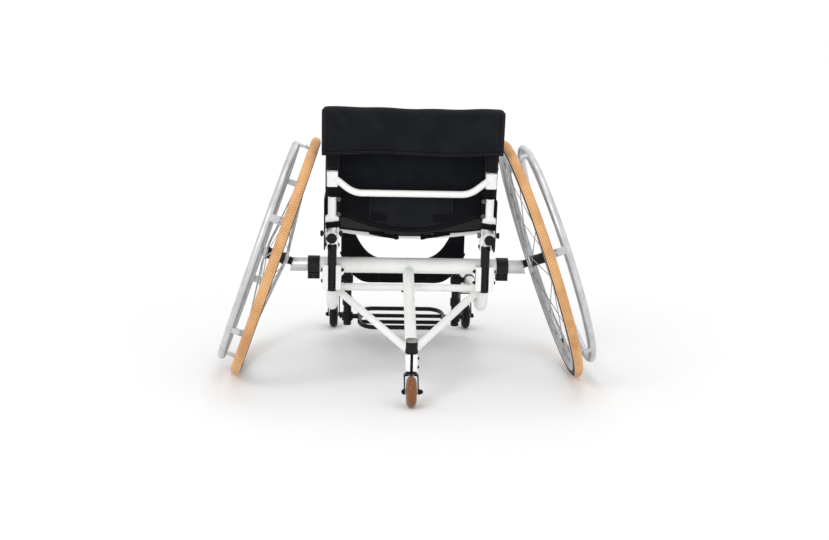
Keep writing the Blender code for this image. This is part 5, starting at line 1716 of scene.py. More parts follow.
@dataclass
class CasterParts(Assembly):
    """The small wheels and forks, alike in front and behind."""

    clearance: float = 0.002
    plate: float = 0.003
    crown: float = 0.007
    fork_width: float = 0.016
    bolt_radius: float = 0.004
    nut_radius: float = 0.0065
    nut_length: float = 0.006
    width: float = 0.024

    def wheel(self, names: Sequence[str], spot: Triple, body: str, slot: str) -> None:
        """A small wheel: its tyre, the core it is moulded on and the bearing at its middle.

        Args:
            names: the piece's name and the node that it stands for.
            spot: its middle, which is its radius above the floor.
            body: the body it rides on.
            slot: the name of the finish it takes, which picks black rubber or brown urethane.
        """
        f, half, radius = self.finishes, self.width / 2, spot[2]
        place = facing(Vector(spot), ACROSS, DOWN)
        core, bore = radius * 0.6, self.bolt_radius + 0.0004
        flank = [(core, half * 0.94), (radius - 0.0105, half * 0.99), (radius - 0.004, 0.4 * self.width),
                 (radius, 0.17 * self.width)]
        tyre = [*[(a, -b) for a, b in flank], *reversed(flank)]
        skin = Skin().add(turned(soften(tyre, 0.0042, 5, closed=True), 96, place))
        face = [(core + 0.0004, 0.9), (core - 0.0008, 0.8), (core * 0.62, 0.66), (core * 0.5, 0.72),
                (bore + 0.0045, 0.92), (bore + 0.0045, 0.96), (bore + 0.003, 0.98)]
        for way in (-1, 1):
            ring = [*[(a, way * half * b) for a, b in face], (bore + 0.003, 0.0), (core + 0.0004, 0.0)]
            skin.add(turned(soften(ring, 0.0009, 3, closed=True), 64, place), look=1)
            low, high = way * 0.001, way * half * 0.985
            bearing = [(bore, low), (bore, high), (bore + 0.0032, high), (bore + 0.0032, low)]
            skin.add(turned(bearing, 32, place), look=2)
        looks = [f.black_rubber, f.black] if slot == "black_rubber" else [f.urethane, f.urethane]
        make(names[0], skin, [*looks, f.steel], body, names[1:])

    def fork(
        self,
        names: Sequence[str],
        swivel: Flat,
        wheel: Triple,
        stem: Flat,
        crown_low: float,
        acorn: bool,
        body: str,
    ) -> None:
        """A fork: stem, arched crown, two legs, and the wheel's bolt with its nuts.

        Args:
            names: the piece's name and the node that it stands for.
            swivel: its stem's place across and along the chair.
            wheel: the wheel's middle.
            stem: the stem's radius and its top.
            crown_low: the crown's underside.
            acorn: whether the nut on the right is domed; if not, both are wing nuts.
            body: the body it rides on.
        """
        f, (x, y), (_, wheel_y, radius) = self.finishes, swivel, wheel
        inner = self.width / 2 + self.clearance
        outer, top = inner + self.plate, crown_low + self.crown
        across = facing(Vector((x, 0, 0)), AHEAD, ACROSS)
        low, under = -(crown_low - 0.004), -(crown_low + 0.0025)
        arch = [*soften([(-outer, low), (-outer, -top), (outer, -top), (outer, low)], 0.0085, 8),
                *soften([(inner, low), (inner, under), (-inner, under), (-inner, low)], 0.0035, 6)]
        skin = Skin().add(prism(arch, y - self.fork_width * 0.48, y + self.fork_width * 0.58, across, 0.0007))
        lean = Vector((0, wheel_y - y, radius - crown_low)).normalized() * (self.fork_width * 0.45)
        reach = self.fork_width * 0.5
        foot_y, foot_z = lean.y * 0.5, radius + lean.z
        leg = [(y + reach, top - 0.003), (y - reach, top - 0.003), (wheel_y - reach * 0.85, radius + 0.001),
               (wheel_y - reach * 0.55 + foot_y, foot_z), (wheel_y + reach * 0.55 + foot_y, foot_z),
               (wheel_y + reach * 0.85, radius + 0.001)]
        leg = soften(leg, 0.0045, 5, closed=True)
        for end in (-1, 1):
            place = sideways(x + end * (inner + outer) / 2, 0, 0)
            skin.add(prism(leg, -self.plate / 2, self.plate / 2, place, 0.0006))
        stand, axle = upright(x, y), sideways(x, wheel_y, radius)
        r, high = stem
        post = [(0, crown_low + 0.003), (r, crown_low + 0.003), (r, high - 0.0008), (r - 0.0008, high),
                (0, high)]
        skin.add(spun(post, 32, stand), rod(self.bolt_radius, -outer, outer, 24, axle), look=1)
        for end in (-1, 1):
            place = sideways(x + end * (outer - 0.0003), wheel_y, radius, end)
            skin.add(washer(place, self.nut_radius * 1.08, 0.001), look=2)
            above = raised(place, 0.001)
            domed = 0.0062 if acorn and end > 0 else 0.0
            skin.add(*nut(above, self.nut_radius, self.nut_length * 0.5, domed), look=2)
            if not acorn:
                wing = raised(above @ Matrix.Rotation(radians(24), 4, "Z"), self.nut_length * 0.5 + 0.0008)
                skin.add(slab((0.0165, 0.0036, 0.004), wing, 0.0016, 0.0005), look=2)
            low, high = end * (inner - 0.0015), end * (inner + 0.0004)
            skin.add(sleeve(self.bolt_radius + 0.0003, self.bolt_radius + 0.003, low, high, 24, axle), look=1)
        if acorn:
            collar = [(r, top - 0.0014), (0.0108, top - 0.0014), (0.0108, top - 0.0002), (r, top - 0.0002)]
            skin.add(turned(collar, 36, stand), look=1)
        make(names[0], skin, [f.black, f.steel, f.black_steel], body, names[1:])


@dataclass
class FrontCasters(CasterParts):
    """The two front casters, trailing behind their swivels."""

    radius: float = 0.036
    stem: float = 0.006

    def build(self) -> None:
        """Builds both forks and wheels."""
        lay = self.lay
        crown_low = lay.housing_low - lay.gap - self.crown
        top = lay.housing_low + lay.housing_height - 0.01
        for side in Side:
            x = side.value * lay.housing_x
            middle = (x, lay.caster_contact_y, self.radius)
            fork, wheel = "caster_fork_" + side.tag, "caster_wheel_" + side.tag
            swivel, stem = (x, lay.swivel_y), (self.stem, top)
            self.fork(("fork_" + side.tag, fork), swivel, middle, stem, crown_low, False, fork)
            self.wheel(("front_wheel_" + side.tag, wheel), middle, wheel, "black_rubber")


@dataclass
class AntiTip(CasterParts):
    """The rear anti-tip wheel: split clamp, bearing cartridge, fork and wheel."""

    cap_radius: float = 0.015
    cap_height: float = 0.033
    tube_radius: float = 0.0105
    flange_radius: float = 0.013
    flange_height: float = 0.0085
    clamp_radius: float = 0.0137
    clamp_low: float = 0.0785
    clamp_height: float = 0.039
    ear: float = 0.017
    split: float = 0.0065
    stem: float = 0.005

    def clamp(self) -> None:
        """The white split clamp with its ears, pinch bolts and dimples."""
        f, y, low = self.finishes, self.lay.anti_tip_stem_y, self.clamp_low
        r, bore, s = self.clamp_radius, self.tube_radius + 0.0004, self.split / 2
        start = -pi / 2 + atan2(s, sqrt(bore**2 - s**2))
        outline = [
            *arc(bore, start, 2 * pi - 2 * (start + pi / 2), 44, (0.0, y)),
            *soften([(-s, y - self.ear), (-r, y - self.ear), (-r, y - 0.002)], 0.0032, 5),
            *arc(r, pi, -pi, 36, (0.0, y))[1:-1],
            *soften([(r, y - 0.002), (r, y - self.ear), (s, y - self.ear)], 0.0032, 5)]
        skin = Skin().add(prism(outline, low, low + self.clamp_height, upright(0, 0), 0.0008))
        bolt_y = y - self.ear * 0.82 + 0.0012
        dimple = [(0, -0.002), (0.0026, -0.002), (0.0026, 0.0001), (0.002, 0.0003), (0.0016, -0.0006),
                  (0, -0.0008)]
        for share in (0.25, 0.78):
            z = low + share * self.clamp_height
            right = sideways(r, bolt_y, z)
            skin.add(washer(right, 0.004, 0.0006), socket_screw(raised(right, 0.0006), 0.003, 0.0028), look=1)
            skin.add(spun(dimple, 20, sideways(-r, bolt_y, z, -1)))
            skin.add(rod(0.0023, -s - 0.001, s + 0.001, 16, sideways(0, bolt_y, z)), look=1)
        make("anti_tip_split_clamp", skin, [f.white, f.black_steel], "frame",
             ["anti_tip_clamp"])

    def bearing(self, flange_low: float, top: float) -> None:
        """The bearing cartridge: black cap with a bolt on top, and the flange below the clamp.

        Args:
            flange_low: the flange's underside.
            top: the cap's top.
        """
        f, gap, low, high = self.finishes, self.lay.gap, self.clamp_low, self.clamp_low + self.clamp_height
        bore, cap, inner, wide = self.stem + 0.0004, self.cap_radius, self.tube_radius, self.flange_radius
        profile = [
            (0, top - 0.003), (0.0072, top - 0.003), (0.008, top - 0.0024), (cap - 0.0032, top - 0.0024),
            (cap - 0.0022, top - 0.0018), (cap - 0.0016, top - 0.003), (cap - 0.0012, high + 0.0085),
            (cap - 0.0002, high + 0.0065), (cap, high + 0.0052), (cap, high + gap + 0.0008),
            (cap - 0.0008, high + gap), (inner, high + gap), (inner, low - gap), (wide - 0.0006, low - gap),
            (wide, low - gap - 0.0008), (wide - 0.0012, flange_low + 0.0006), (wide - 0.002, flange_low),
            (bore, flange_low), (bore, top - 0.01), (0, top - 0.01)]
        place = upright(0, self.lay.anti_tip_stem_y)
        skin = Skin().add(spun(profile, 64, place))
        lid = raised(place, top - 0.0024)
        bolt = [(0, 0.0006), (0.0058, 0.0006), (0.0058, 0.0012), (0.0048, 0.0022), (0.0024, 0.0024),
                (0, 0.0024)]
        collar = [(cap - 0.004, top - 0.0062), (cap - 0.0009, top - 0.0062), (cap - 0.0009, top - 0.0016),
                  (cap - 0.0016, top - 0.0009), (cap - 0.004, top - 0.0009)]
        skin.add(washer(lid, 0.0098, 0.0008), spun(bolt, 32, lid), turned(collar, 64, place), look=1)
        skin.add(sleeve(cap - 0.0016, cap - 0.0009, high + 0.0205, high + 0.0218, 64, place))
        make("bearing_cartridge", skin, [f.plastic, f.steel], "frame", ["anti_tip_bearing"])

    def build(self) -> None:
        """Builds the clamp, the bearing, the fork and the wheel."""
        lay = self.lay
        flange_low = self.clamp_low - lay.gap - self.flange_height
        top = self.clamp_low + self.clamp_height + lay.gap + self.cap_height
        self.clamp()
        self.bearing(flange_low, top)
        swivel = (0.0, lay.anti_tip_stem_y)
        middle = (0.0, lay.anti_tip_stem_y - lay.anti_tip_trail, lay.anti_tip_radius)
        self.fork(("rear_fork", "anti_tip_fork"), swivel, middle, (self.stem, top - 0.011),
                  flange_low - lay.gap - self.crown, True, "anti_tip_fork")
        self.wheel(("rear_small_wheel", "anti_tip_wheel"), middle, "anti_tip_wheel", "brown_urethane")


# The seat frame, which rides up and down in the strut clamps


@dataclass
class SeatFrame(Assembly):
    """Seat side tubes with their lugs and caps, the height struts and the bowed cross bar."""

    cap_length: float = 0.003
    lug_thickness: float = 0.003
    lug_width: float = 0.02
    lug_drop: float = 0.048
    bar_radius: float = 0.008
    bar_sag: float = 0.017
    bar_low: float = 0.003
    strut_low: float = 0.2094
    sleeve_top: float = 0.324
    neck: float = 0.0072

    def side_line(self, side: Side) -> list[Vector]:
        """The centre line of a seat side tube.

        Args:
            side: which side it is on.

        Returns:
            its points from rear to front.
        """
        lay = self.lay
        rear = side.at(lay.frame_half, lay.seat_rear_y, lay.seat_rear_z)
        bend = side.at(lay.seat_x(lay.seat_bend_y), lay.seat_bend_y, lay.seat_z(lay.seat_bend_y))
        front = side.at(lay.seat_front_half, lay.seat_front_y, lay.seat_z(lay.seat_front_y))
        return bent([rear, bend, front], 0.12, 10)

    def side_tube(self, side: Side) -> None:
        """A seat side tube, its rear and front plugs, and the lugs over the strut's head.

        Args:
            side: which side it is on.
        """
        lay, f, y = self.lay, self.finishes, self.lay.strut_y
        thick, w = self.lug_thickness, self.lug_width / 2
        line, r = self.side_line(side), lay.seat_tube_radius
        skin = Skin().add(tube(spread(line, 0.02), r, 36))
        low, high = lay.seat_z(y) - self.lug_drop, lay.seat_z(y) - 0.002
        lug = soften([(y - w, high), (y - w * 0.86, low + 0.012), (y - w * 0.55, low), (y + w * 0.55, low),
                      (y + w * 0.86, low + 0.012), (y + w, high)], 0.005, 6, closed=True)
        for end in (-1, 1):
            near = side.value * lay.frame_half + end * (lay.strut_radius + lay.gap)
            skin.add(prism(lug, -thick / 2, thick / 2, sideways(near + end * thick / 2, 0, 0), 0.0006))
            out = sideways(near + end * thick, y, low + 0.011, end)
            skin.add(washer(out, 0.0062, 0.0008), look=2)
            skin.add(socket_screw(raised(out, 0.0008), 0.0044, 0.0028), look=1)
            x, z = near + end * (thick + 0.0006), lay.seat_z(y) - 0.0085
            skin.add(weld([Vector((x, y + t, z)) for t in (-w * 0.9, w * 0.9)], 0.0016, closed=False))
        ahead = (line[-1] - line[-2]).normalized()
        plug = [(0, 0), (r - 0.0008, 0), (r - 0.0006, 0.0008), (r - 0.0022, 0.0012), (r * 0.5, 0.0012),
                (0, 0.0012)]
        skin.add(spun(plug, 36, facing(line[-1] - ahead * 0.0005, ahead, UP)), look=3)
        make("seat_side_tube_" + side.tag, skin, [f.white, f.black_steel, f.steel, f.plastic], "seat",
             ["seat_tube_" + side.tag])
        inward, e = (line[1] - line[0]).normalized(), self.cap_length
        cap = [(0, -0.006), (r - 0.003, -0.006), (r - 0.003, -0.0003), (r - 0.0002, 0.0), (r, 0.0006),
               (r - 0.0002, e * 0.55), (r - 0.0022, e * 0.92), (r * 0.45, e), (0, e)]
        place = facing(line[0] - inward * lay.gap, -inward, ACROSS)
        make("tube_end_cap_" + side.tag, Skin().add(spun(cap, 40, place)), [f.plastic], "seat",
             ["seat_tube_cap_" + side.tag])

    def strut(self, side: Side) -> None:
        """A height strut with its lower plug and the size rings cut round it.

        Args:
            side: which side it is on.
        """
        lay, f, r, low, high = self.lay, self.finishes, self.lay.strut_radius, self.strut_low, self.sleeve_top
        top = lay.seat_z(lay.strut_y) - lay.seat_tube_radius - 0.0015
        place = upright(side.value * lay.frame_half, lay.strut_y)
        line = [(0, low), (r - 0.001, low), (r, low + 0.001)]
        z = low + 0.01
        while z < high - 0.012:
            line += [(r, z), (r - 0.00035, z + 0.0004), (r - 0.00035, z + 0.0008), (r, z + 0.0012)]
            z += 0.01
        line += [(r, high - 0.001), (r - 0.001, high), (0, high)]
        skin = Skin().add(spun(line, 48, place))
        neck = [(0, high - 0.002), (self.neck, high - 0.002), (self.neck, top - 0.0006),
                (self.neck - 0.0006, top), (0, top)]
        skin.add(spun(neck, 36, place), look=2).add(rod(r * 0.62, low - 0.0004, low + 0.001, 32, place),
                                                    look=1)
        make("height_strut_" + side.tag, skin, [f.black, f.plastic, f.white], "seat",
             ["seat_strut_" + side.tag])

    def cross_bar(self) -> None:
        """The bar that bows down under the sling between the side tubes."""
        lay = self.lay
        half, z = lay.seat_x(0.0), lay.seat_z(0.0)
        xs = [half * 0.97 * (i / 20 - 1) for i in range(41)]
        line = [Vector((x, 0.0, z - self.bar_low - self.bar_sag * (1 - (x / half) ** 2))) for x in xs]
        skin = Skin().add(tube(line, self.bar_radius, 28))
        along = Vector((0, cos(lay.seat_slope), sin(lay.seat_slope)))
        for side, end, before in ((Side.LEFT, line[0], line[1]), (Side.RIGHT, line[-1], line[-2])):
            inward = (before - end).normalized()
            ring = saddle(end + inward * 0.001, inward, self.bar_radius, side.at(half, 0.0, z), along,
                          lay.seat_tube_radius)
            skin.add(weld(ring, 0.0016))
        make("bowed_cross_bar", skin, [self.finishes.white], "seat", ["seat_cross_bar"])

    def build(self) -> None:
        """Builds the seat's metal frame."""
        for side in Side:
            self.side_tube(side)
            self.strut(side)
        self.cross_bar()


@dataclass
class SideGuards(Assembly):
    """The two thin fender plates beside the seat, with their studs and screws."""

    behind_pivot: float = -0.005
    front_y: float = 0.205
    low: float = 0.3122
    high: float = 0.4434
    stud_radius: float = 0.005
    stud_step: float = 0.1
    outline: tuple[Flat, ...] = (
        (0, 0), (0.796, 0.046), (0.967, 0.168), (1, 0.32), (0.952, 0.503), (0.796, 0.741),
        (0.611, 0.909), (0.426, 0.985), (0.278, 1), (-0.081, 1))

    def build(self) -> None:
        """Builds both guards."""
        lay, f, half = self.lay, self.finishes, self.lay.guard_thickness / 2
        start = lay.pivot_y - self.behind_pivot
        deep, tall = self.front_y - start, self.high - self.low
        line = soften([(start + deep * a, self.low + tall * b) for a, b in self.outline], 0.014, 6,
                      closed=True)
        edge = inset(anticlockwise(line), 0.0016)
        for side in Side:
            place = sideways(side.value * lay.guard_x, 0, 0)
            rim = [place @ Vector((p.x, p.y, 0)) for p in edge]
            skin = Skin().add(prism(line, -half, half, place, 0.0004), piping(rim, 0.0016, closed=True))
            for y in (0.0, self.stud_step):
                near, z = lay.seat_x(y) + lay.seat_tube_radius * 0.8, lay.seat_z(y)
                along = sideways(side.value * near, y, z, side.value)
                skin.add(rod(self.stud_radius, 0, lay.guard_x - half - near, 24, along))
                out = sideways(side.value * (lay.guard_x + half - 0.0002), y, z, side.value)
                skin.add(washer(out, 0.0062, 0.0007), look=2)
                skin.add(socket_screw(raised(out, 0.0006), 0.0042, 0.0018), look=1)
            make("fender_" + side.tag, skin, [f.plastic, f.black_steel, f.steel], "seat",
                 ["side_guard_" + side.tag])


# Front legs, footrest and calf strap


@dataclass
class Legs(Assembly):
    """Front legs in their clamps on the rails, and the footrest that slides on them."""

    leg_low: float = 0.02965
    collar_low: float = 0.08615
    collar_high: float = 0.108
    collar_wall: float = 0.003
    clamp_height: float = 0.022
    clamp_wall: float = 0.0042
    clamp_arm: float = 0.014
    foot_z: float = 0.0539
    foot_height: float = 0.0225
    plate_half: float = 0.115
    plate_near: float = 0.28
    plate_depth: float = 0.14
    plate_tilt: float = 0.1436
    plate_tube: float = 0.006
    plate_corner: float = 0.04
    plate_bars: Flat = (0.28, 0.61)

    def stand(self, side: Side) -> Matrix:
        """A frame on the floor under a leg."""
        return upright(side.value * self.lay.leg_half, self.lay.leg_y)

    def leg(self, side: Side) -> None:
        """A front leg with its stop collar, the collar's screw and the weld at its top.

        Args:
            side: which side it is on.
        """
        lay, f, r, foot = self.lay, self.finishes, self.lay.strut_radius, self.leg_low
        wide, low, high = r + self.collar_wall, self.collar_low, self.collar_high
        top = lay.seat_z(lay.leg_y) - lay.seat_tube_radius + 0.002
        profile = [(0, foot), (r - 0.0012, foot), (r, foot + 0.0012), (r, low), (wide - 0.0008, low),
                   (wide, low + 0.0008), (wide, high - 0.0008), (wide - 0.0008, high), (r, high),
                   (r, 0.13), (r, 0.19), (r, 0.25), (r, top), (0, top)]
        skin = Skin().add(spun(profile, 48, self.stand(side)))
        spot = side.at(lay.leg_half, lay.leg_y - r - self.collar_wall + 0.0004, (low + high) / 2)
        skin.add(socket_screw(facing(spot, BEHIND, ACROSS), 0.0028, 0.0012), look=1)
        before, after = (side.at(lay.seat_x(y), y, lay.seat_z(y))
                         for y in (lay.leg_y - 0.01, lay.leg_y + 0.01))
        ring = saddle(side.at(lay.leg_half, lay.leg_y, 0.3), DOWN, r, before, after - before,
                      lay.seat_tube_radius)
        skin.add(weld(ring, 0.0014))
        make("leg_" + side.tag, skin, [f.black, f.black_steel], "seat",
             ["front_leg_" + side.tag])

    def ring(self, side: Side, middle: float, height: float) -> Shape:
        """A clamp's ring round a leg, with softened rims.

        Args:
            side: which side it is on.
            middle: its middle's height.
            height: how tall it is.

        Returns:
            the closed shape.
        """
        inner, outer = self.lay.strut_radius + 0.0004, self.lay.strut_radius + self.clamp_wall
        low, high = middle - height / 2, middle + height / 2
        profile = soften([(inner, low), (outer, low), (outer, high), (inner, high)], 0.0014, closed=True)
        return turned(profile, 48, self.stand(side))

    def rail_clamp(self, side: Side) -> None:
        """The clamp that carries a leg off its rail.

        Args:
            side: which side it is on.
        """
        lay, plastic, z = self.lay, self.finishes.plastic, self.lay.rail_z
        skin = Skin().add(self.ring(side, z, self.clamp_height))
        near, far = lay.leg_half + lay.strut_radius + 0.0018, lay.frame_half - lay.rail_radius + 0.001
        place = sideways(side.value * (near + far) / 2, lay.leg_y, z)
        skin.add(slab((self.clamp_arm, self.clamp_arm, far - near), place, 0.003, 0.0004))
        inner, outer = lay.rail_radius + 0.0002, lay.rail_radius + 0.0022
        band = soften([(inner, -0.009), (outer, -0.009), (outer, 0.009), (inner, 0.009)], 0.0008, 3,
                      closed=True)
        skin.add(turned(band, 48, facing(side.at(lay.frame_half, lay.leg_y, z), AHEAD, ACROSS)))
        y = lay.leg_y - lay.strut_radius - self.clamp_wall
        knob = facing(side.at(lay.leg_half, y + 0.0012, z), BEHIND, ACROSS)
        skin.add(*grip_knob(knob, 0.0062, 0.0072, 6), look=1)
        make("rail_clamp_" + side.tag, skin, [plastic, plastic], "frame",
             ["front_clamp_" + side.tag])

    def foot_clamp(self, side: Side) -> None:
        """The sliding clamp that holds the footplate.

        Args:
            side: which side it is on.
        """
        lay, plastic, z, wide = self.lay, self.finishes.plastic, self.foot_z, 2 * self.plate_tube
        skin = Skin().add(self.ring(side, z, self.foot_height))
        near, far = self.plate_half + self.plate_tube - 0.001, lay.leg_half - lay.strut_radius - 0.0018
        place = sideways(side.value * (near + far) / 2, lay.leg_y, z)
        skin.add(slab((wide, wide, far - near), place, 0.0025, 0.0004))
        outer = lay.leg_half + lay.strut_radius + self.clamp_wall - 0.0006
        knob = sideways(side.value * outer, lay.leg_y, z, side.value)
        skin.add(*grip_knob(knob, 0.0068, 0.0072, 6), look=1)
        make("foot_slide_" + side.tag, skin, [plastic, plastic], "footrest",
             ["foot_clamp_" + side.tag])

    def footplate(self) -> None:
        """The tube loop with its two cross bars and their welds."""
        near, far = self.plate_near, self.plate_near + self.plate_depth
        half, r = self.plate_half, self.plate_tube

        def at(x: float, y: float) -> Vector:
            """A point of the tilted loop's plane."""
            return Vector((x, y, self.foot_z + (y - self.lay.leg_y) * self.plate_tilt))

        corners = [at(0.0, near), at(half, near), at(half, far), at(-half, far), at(-half, near),
                   at(0.0, near)]
        line = bent(corners, self.plate_corner, 14)[:-1]
        skin = Skin().add(loft(spread(line, 0.02), round_section(r, 24), closed=True))
        for share in self.plate_bars:
            y = near + share * self.plate_depth
            skin.add(tube(spread([at(-half + 0.002, y), at(half - 0.002, y)], 0.02), r * 0.9, 24))
            for end in (-1, 1):
                spot = at(end * half, y)
                ring = saddle(spot, Vector((-end, 0, 0)), r * 0.88, spot, at(end * half, y + 0.01) - spot, r)
                skin.add(weld(ring, 0.0012))
        make("footplate_loop", skin, [self.finishes.black], "footrest", ["footplate"])

    def build(self) -> None:
        """Builds the legs, their clamps and the footrest."""
        for side in Side:
            self.leg(side)
            self.rail_clamp(side)
            self.foot_clamp(side)
        self.footplate()


@dataclass
class CalfStrap(Assembly):
    """The U-shaped band behind the legs, with the sleeves that hold it to them."""

    thickness: float = 0.0026
    y: float = 0.3408
    half: float = 0.168
    bottom: float = 0.155
    band: float = 0.062
    top: float = 0.35
    loop_z: float = 0.29
    loop_height: float = 0.04

    def at(self, across: float, up: float) -> Vector:
        """A point of the band from shares across and up.

        Args:
            across: share from the left end to the right.
            up: share from the lower edge to the upper.

        Returns:
            the point in the chair's frame.
        """
        x = self.half * (2 * across - 1)
        share = abs(x) / self.half
        low = self.bottom + 0.08 * max(0.0, (share - 0.5) / 0.5) ** 2.5
        high = min(self.top, self.bottom + self.band + 0.181 * share**3.94)
        slack = 0.0016 * sin(9 * share + 2.2 * up) * (1 - share**4)
        return Vector((x, self.y - abs(slack), low + (high - low) * up))

    def loop(self, centre: Vector) -> Shape:
        """The sleeve round a leg, sewn to the band's front.

        Args:
            centre: the middle of the leg at the sleeve's height.

        Returns:
            The closed shape.
        """
        turn = arc(self.lay.strut_radius + 0.0014, radians(-58), radians(296), 40)
        line = [centre + p.to_3d() for p in turn]
        left, middle, right = (
            Vector((centre.x + x, self.y + self.thickness / 2, centre.z)) for x in (-0.014, 0.0, 0.014))
        line += [line[40].lerp(left, 0.5), line[40].lerp(left, 1.0), middle,
                 line[0].lerp(right, 1.0), line[0].lerp(right, 0.5)]

        def outward(p: Vector) -> Vector:
            """The way out from the leg."""
            return Vector((p.x - centre.x, p.y - centre.y, 0.0))

        return loft(line, oblong(self.loop_height, 0.0016, 0.0007, 2), upward=outward, closed=True)

    def build(self) -> None:
        """Builds the band with its bound edges, seams and leg sleeves."""
        lay, f, half = self.lay, self.finishes, self.thickness / 2
        flat = (2 * self.half, self.top - self.bottom)
        sheet = cloth(self.at, 84, 22, self.thickness, flat)
        band = make("calf_band", Skin().add(sheet), [f.woven], "seat", ["calf_strap"])
        sleeves = Skin()
        for up in (0.0, 1.0):
            edge = [self.at(i / 90, up) for i in range(91)]
            lift = Vector((0, 0, 0.003 if up == 0 else -0.003))
            sleeves.add(tape([p + lift for p in edge], 0.0085, self.thickness + 0.0016, BEHIND))
            for face in (-1, 1):
                row = [p + lift * 1.6 + Vector((0, face * (half + 0.0008), 0)) for p in edge]
                sleeves.add(stitches(row, BEHIND * -face), look=1)
        for across in (0.3, 0.7):
            seam = [self.at(across, i / 20) + Vector((0, -half - 0.0001, 0)) for i in range(1, 20)]
            for shift in (0.0, 0.004):
                sleeves.add(stitches([p + Vector((shift, 0, 0)) for p in seam], BEHIND), look=1)
        for side in Side:
            centre = side.at(lay.leg_half, lay.leg_y, self.loop_z)
            sleeves.add(self.loop(centre))
            for z in (-0.016, 0.016):
                row = [Vector((centre.x + 0.0205 * t, self.y - half - 0.0002, self.loop_z + z))
                       for t in (-1, 1)]
                sleeves.add(stitches(row, BEHIND), look=1)
        make("calf_band_sleeves", sleeves, [f.webbing, f.thread], "seat")


# Seat sling


@dataclass
class SeatSling(Assembly):
    """The sling over both seat tubes, sewn round them and hollow between them."""

    thickness: float = 0.0025
    rear_y: float = -0.045
    front_y: float = 0.335
    sag: float = 0.004
    wrap: float = radians(140)
    leave: float = radians(35)
    share: float = 0.8

    def at(self, across: float, along: float, lift: float = 0.0) -> Vector:
        """A point of the sling from shares across and along, and a lift off its middle.

        Args:
            across: share from the left edge to the right.
            along: share from the rear edge to the front.
            lift: distance off its middle.

        Returns:
            the point in the chair's frame.
        """
        lay, share = self.lay, self.share
        y = self.rear_y + (self.front_y - self.rear_y) * along
        radius = lay.seat_tube_radius + lay.gap + self.thickness / 2 + lift
        t = 2 * across - 1
        side = 1 if t >= 0 else -1
        if abs(t) > share:
            angle = self.leave + (self.wrap - self.leave) * (abs(t) - share) / (1 - share)
            return Vector((side * (lay.seat_x(y) - radius * cos(angle)), y,
                           lay.seat_z(y) + radius * sin(angle)))
        edge_x = lay.seat_x(y) - radius * cos(self.leave)
        edge_z = radius * sin(self.leave)
        flat = abs(t) / share
        fall = (edge_z - lift + self.sag) * (1 - flat**2)
        crease = 0.0007 * sin(46 * along + 3 * t) * flat**6 * (1 - flat**12)
        ripple = 0.0006 * sin(9 * along + 5 * t) * (1 - flat**2)
        return Vector((edge_x * t / share, y, lay.seat_z(y) + edge_z - fall + crease + ripple))

    def rear_edge(self, x: float) -> Vector:
        """The point of the rear edge at about a distance across."""
        return self.at(0.5 + x / (2 * self.lay.frame_half) * 0.8, 0.0)

    def seams(self) -> None:
        """The sling's bindings, its two straps and their stitching."""
        f, skin = self.finishes, Skin()
        face = self.thickness / 2 + 0.0001
        for along in (0.006, 0.994):
            edge = [self.at(0.02 + 0.96 * i / 110, along) for i in range(111)]
            skin.add(piping(edge, self.thickness / 2 + 0.0011, 12), look=1)
        for along in (0.035, 0.965):
            skin.add(stitches([self.at(0.10 + 0.80 * i / 110, along, face) for i in range(111)], UP), look=2)
        for across in (0.125, 0.875, 0.112, 0.888):
            skin.add(stitches([self.at(across, 0.01 + 0.98 * i / 60, face) for i in range(61)], UP), look=2)
        for across in (0.36, 0.64):
            band = [self.at(across, 0.04 + 0.92 * i / 60, self.thickness / 2 + 0.0004) for i in range(61)]
            skin.add(tape(band, 0.038, 0.0012, UP), look=1)
            for shift in (-0.016, 0.016):
                skin.add(stitches([p + Vector((shift, 0, 0.0007)) for p in band], UP), look=2)
        make("sling_seams", skin, [f.woven, f.webbing, f.thread], "seat")

    def rear_tape(self) -> None:
        """The grey tape, the wedges and the strap tails at the rear edge."""
        f, trim = self.finishes, Skin()
        edge = [self.at(0.36 + 0.26 * i / 30, 0.0) for i in range(31)]
        band = [Vector((p.x, p.y - self.thickness / 2 - 0.0016, p.z - 0.002)) for p in edge]
        trim.add(tape(band, 0.0085, 0.0012, Vector((0, -1, 0.1))))
        for up in (0.0032, -0.0032):
            trim.add(stitches([p + Vector((0, -0.0008, up)) for p in band], BEHIND), look=2)
        for near, far in ((-0.104, -0.036), (0.104, 0.034)):
            edge = [self.rear_edge(near + (far - near) * i / 16) for i in range(17)]
            wedge = [Vector((p.x, p.y - 0.0035, p.z - 0.0015 - 0.0075 * i / 16)) for i, p in enumerate(edge)]
            trim.add(tape(wedge, 0.0092, 0.002, BEHIND), look=1)
            trim.add(stitches([p + Vector((0, -0.0011, -0.003)) for p in wedge], BEHIND), look=2)
        hang = ((0, -0.0026, -0.001), (0, -0.0042, -0.007), (0.0004, -0.004, -0.0105),
                (0.001, -0.0034, -0.0145))
        for x in (-0.034, 0.033):
            tail = [self.rear_edge(x) + Vector(step) for step in hang]
            trim.add(tape(soften(tail, 0.004), 0.0105, 0.0016, BEHIND), look=1)
        make("sling_rear_tape", trim, [f.grey_cloth, f.webbing, f.thread], "seat")

    def build(self) -> None:
        """Builds the sling, its bindings and seams, and the tape and tails at its rear edge."""
        length = self.front_y - self.rear_y
        sheet = cloth(self.at, 120, 60, self.thickness, (2.3 * self.lay.frame_half, length))
        sling = make("sling", Skin().add(sheet), [self.finishes.woven], "seat",
                     ["seat_sling"])
        self.seams()
        self.rear_tape()


# Backrest, which folds forwards about the pivot


